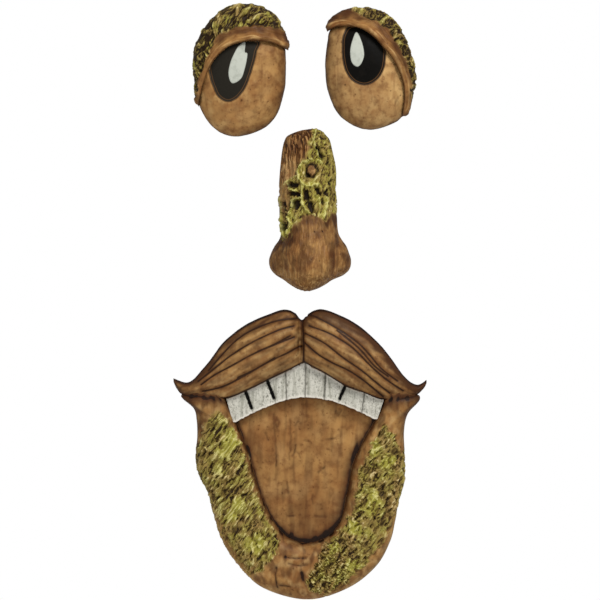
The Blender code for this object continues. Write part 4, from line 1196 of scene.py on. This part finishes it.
def finish_piece(mesh, low, high):
    """Keeps a piece inside the CAD box, and paints what the Boolean solver made."""
    points = np.clip(read(mesh.vertices, "co", width=3).reshape(-1, 3), low, high)
    mesh.vertices.foreach_set("co", points.astype(np.float32).ravel())
    mesh.update()
    mesh.shade_smooth()
    mesh.set_sharp_from_angle(angle=math.radians(62))
    mesh.materials.clear()
    mesh.materials.append(paint)
    mesh.materials.append(dull)
    values = {key: read(mesh.attributes[key].data, "value") for key in PLAIN}
    # The solver's points have no paint yet: dark seams in front, plain stain behind
    made = (values["iris"] == 0) & (values["glint"] == 0) & (values["crest"] == 0)
    corners = read(mesh.loops, "vertex_index", np.int32)
    starts = read(mesh.polygons, "loop_start", np.int32)
    counts = read(mesh.polygons, "loop_total", np.int32)
    facing_back = read(mesh.polygons, "normal", width=3).reshape(-1, 3)[:, 1] > 0.9
    flat_back = facing_back & np.logical_and.reduceat(points[corners, 1] > -MM, starts)
    behind = np.zeros(len(points), bool)
    behind[corners[np.repeat(flat_back, counts)]] = True
    seam = {"iris": -CLEAR, "glint": -CLEAR, "crest": PLAIN["crest"], "cut": 0.3, "wash_and_shadow": 0.6}
    plain = {"cut": CLEAR, "wash_and_shadow": 0.2, "tone_and_shade": 0.35, "tuft": 0.0, "bright": 0.0}
    for where, paints in ((made, seam), (behind, plain)):
        for key, value in paints.items():
            values[key][where] = value
    for key, value in values.items():
        mesh.attributes[key].data.foreach_set("value", value)
    black = (values["iris"] > 0.2) & (values["glint"] < -0.1)
    mesh.polygons.foreach_set("use_smooth", ~flat_back)
    mesh.polygons.foreach_set("material_index", np.logical_and.reduceat(black[corners], starts).astype(np.int32))


paint, dull = resin("painted_resin", 0.14), resin("dull_black", 0.05)
pieces = {
    "left_eye": make_eye(
        "left_eye_look", LEFT_EYE_AT, 1, LEFT_BALL_OUTLINE, LEFT_LID_OUTLINE, LEFT_LID_EDGE,
        LEFT_IRIS, LEFT_GLINT, left_moss,
    ),
    "right_eye": make_eye(
        "right_eye_look", RIGHT_EYE_AT, -1, RIGHT_BALL_OUTLINE, RIGHT_LID_OUTLINE, RIGHT_LID_EDGE,
        RIGHT_IRIS, RIGHT_GLINT, right_moss,
    ),
    "nose": make_nose(),
    "mouth": make_mouth(),
}
for node, piece in pieces.items():
    finish_piece(piece.data, *(np.array(corner) for corner in CAD_BOX))
    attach(piece, "root")
    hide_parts(node)

# ---------------------------------------------------------------- floor, light and camera
bpy.ops.mesh.primitive_circle_add(vertices=96, radius=1.2, fill_type="NGON", location=(0, 0, -0.42))
floor = bpy.context.object
floor.name = "floor"
pale = bpy.data.materials.new("pale_floor")
pale.use_nodes = True
pale.node_tree.nodes["Principled BSDF"].inputs["Base Color"].default_value = (0.85, 0.85, 0.85, 1)
pale.node_tree.nodes["Principled BSDF"].inputs["Roughness"].default_value = 0.8
floor.data.materials.append(pale)

# Place and size in metres, and watts
LIGHTS = {
    "key": ((0.5, -0.95, 1.1), 0.5, 15.3),
    "fill": ((-1.1, -1.1, 0.5), 0.9, 4.0),
    "low": ((0.15, -1.25, -0.28), 0.7, 2.0),
}
for name, (place, size, power) in LIGHTS.items():
    light = bpy.data.lights.new(name, "AREA")
    light.size = size
    light.energy = power
    lamp = placed(name, light)
    lamp.location = place
    lamp.rotation_euler = (Vector((0.0, 0.0, 0.1)) - lamp.location).to_track_quat("-Z", "Y").to_euler()

# A dim sky lights the set, and a white one shows behind it
world = bpy.data.worlds.new("studio")
world.use_nodes = True
nodes, links = world.node_tree.nodes, world.node_tree.links
sky, backdrop = nodes["Background"], nodes.new("ShaderNodeBackground")
choice = nodes.new("ShaderNodeMixShader")
links.new(nodes.new("ShaderNodeLightPath").outputs["Is Camera Ray"], choice.inputs[0])
for slot, (background, strength) in enumerate(((sky, 0.36), (backdrop, 1.0)), 1):
    background.inputs["Color"].default_value = (1, 1, 1, 1)
    background.inputs["Strength"].default_value = strength
    links.new(background.outputs[0], choice.inputs[slot])
links.new(choice.outputs[0], nodes["World Output"].inputs["Surface"])
scene = bpy.context.scene
scene.world = world
scene.view_settings.view_transform = "Standard"
scene.view_settings.look = "None"

lens = bpy.data.cameras.new("camera")
lens.lens = 600.0
lens.clip_end = 20.0
camera = placed("camera", lens)
camera.location = (0.0, -6.469, 0.09976)
camera.rotation_euler = (math.pi / 2, 0.0, 0.0)
bpy.context.scene.camera = camera
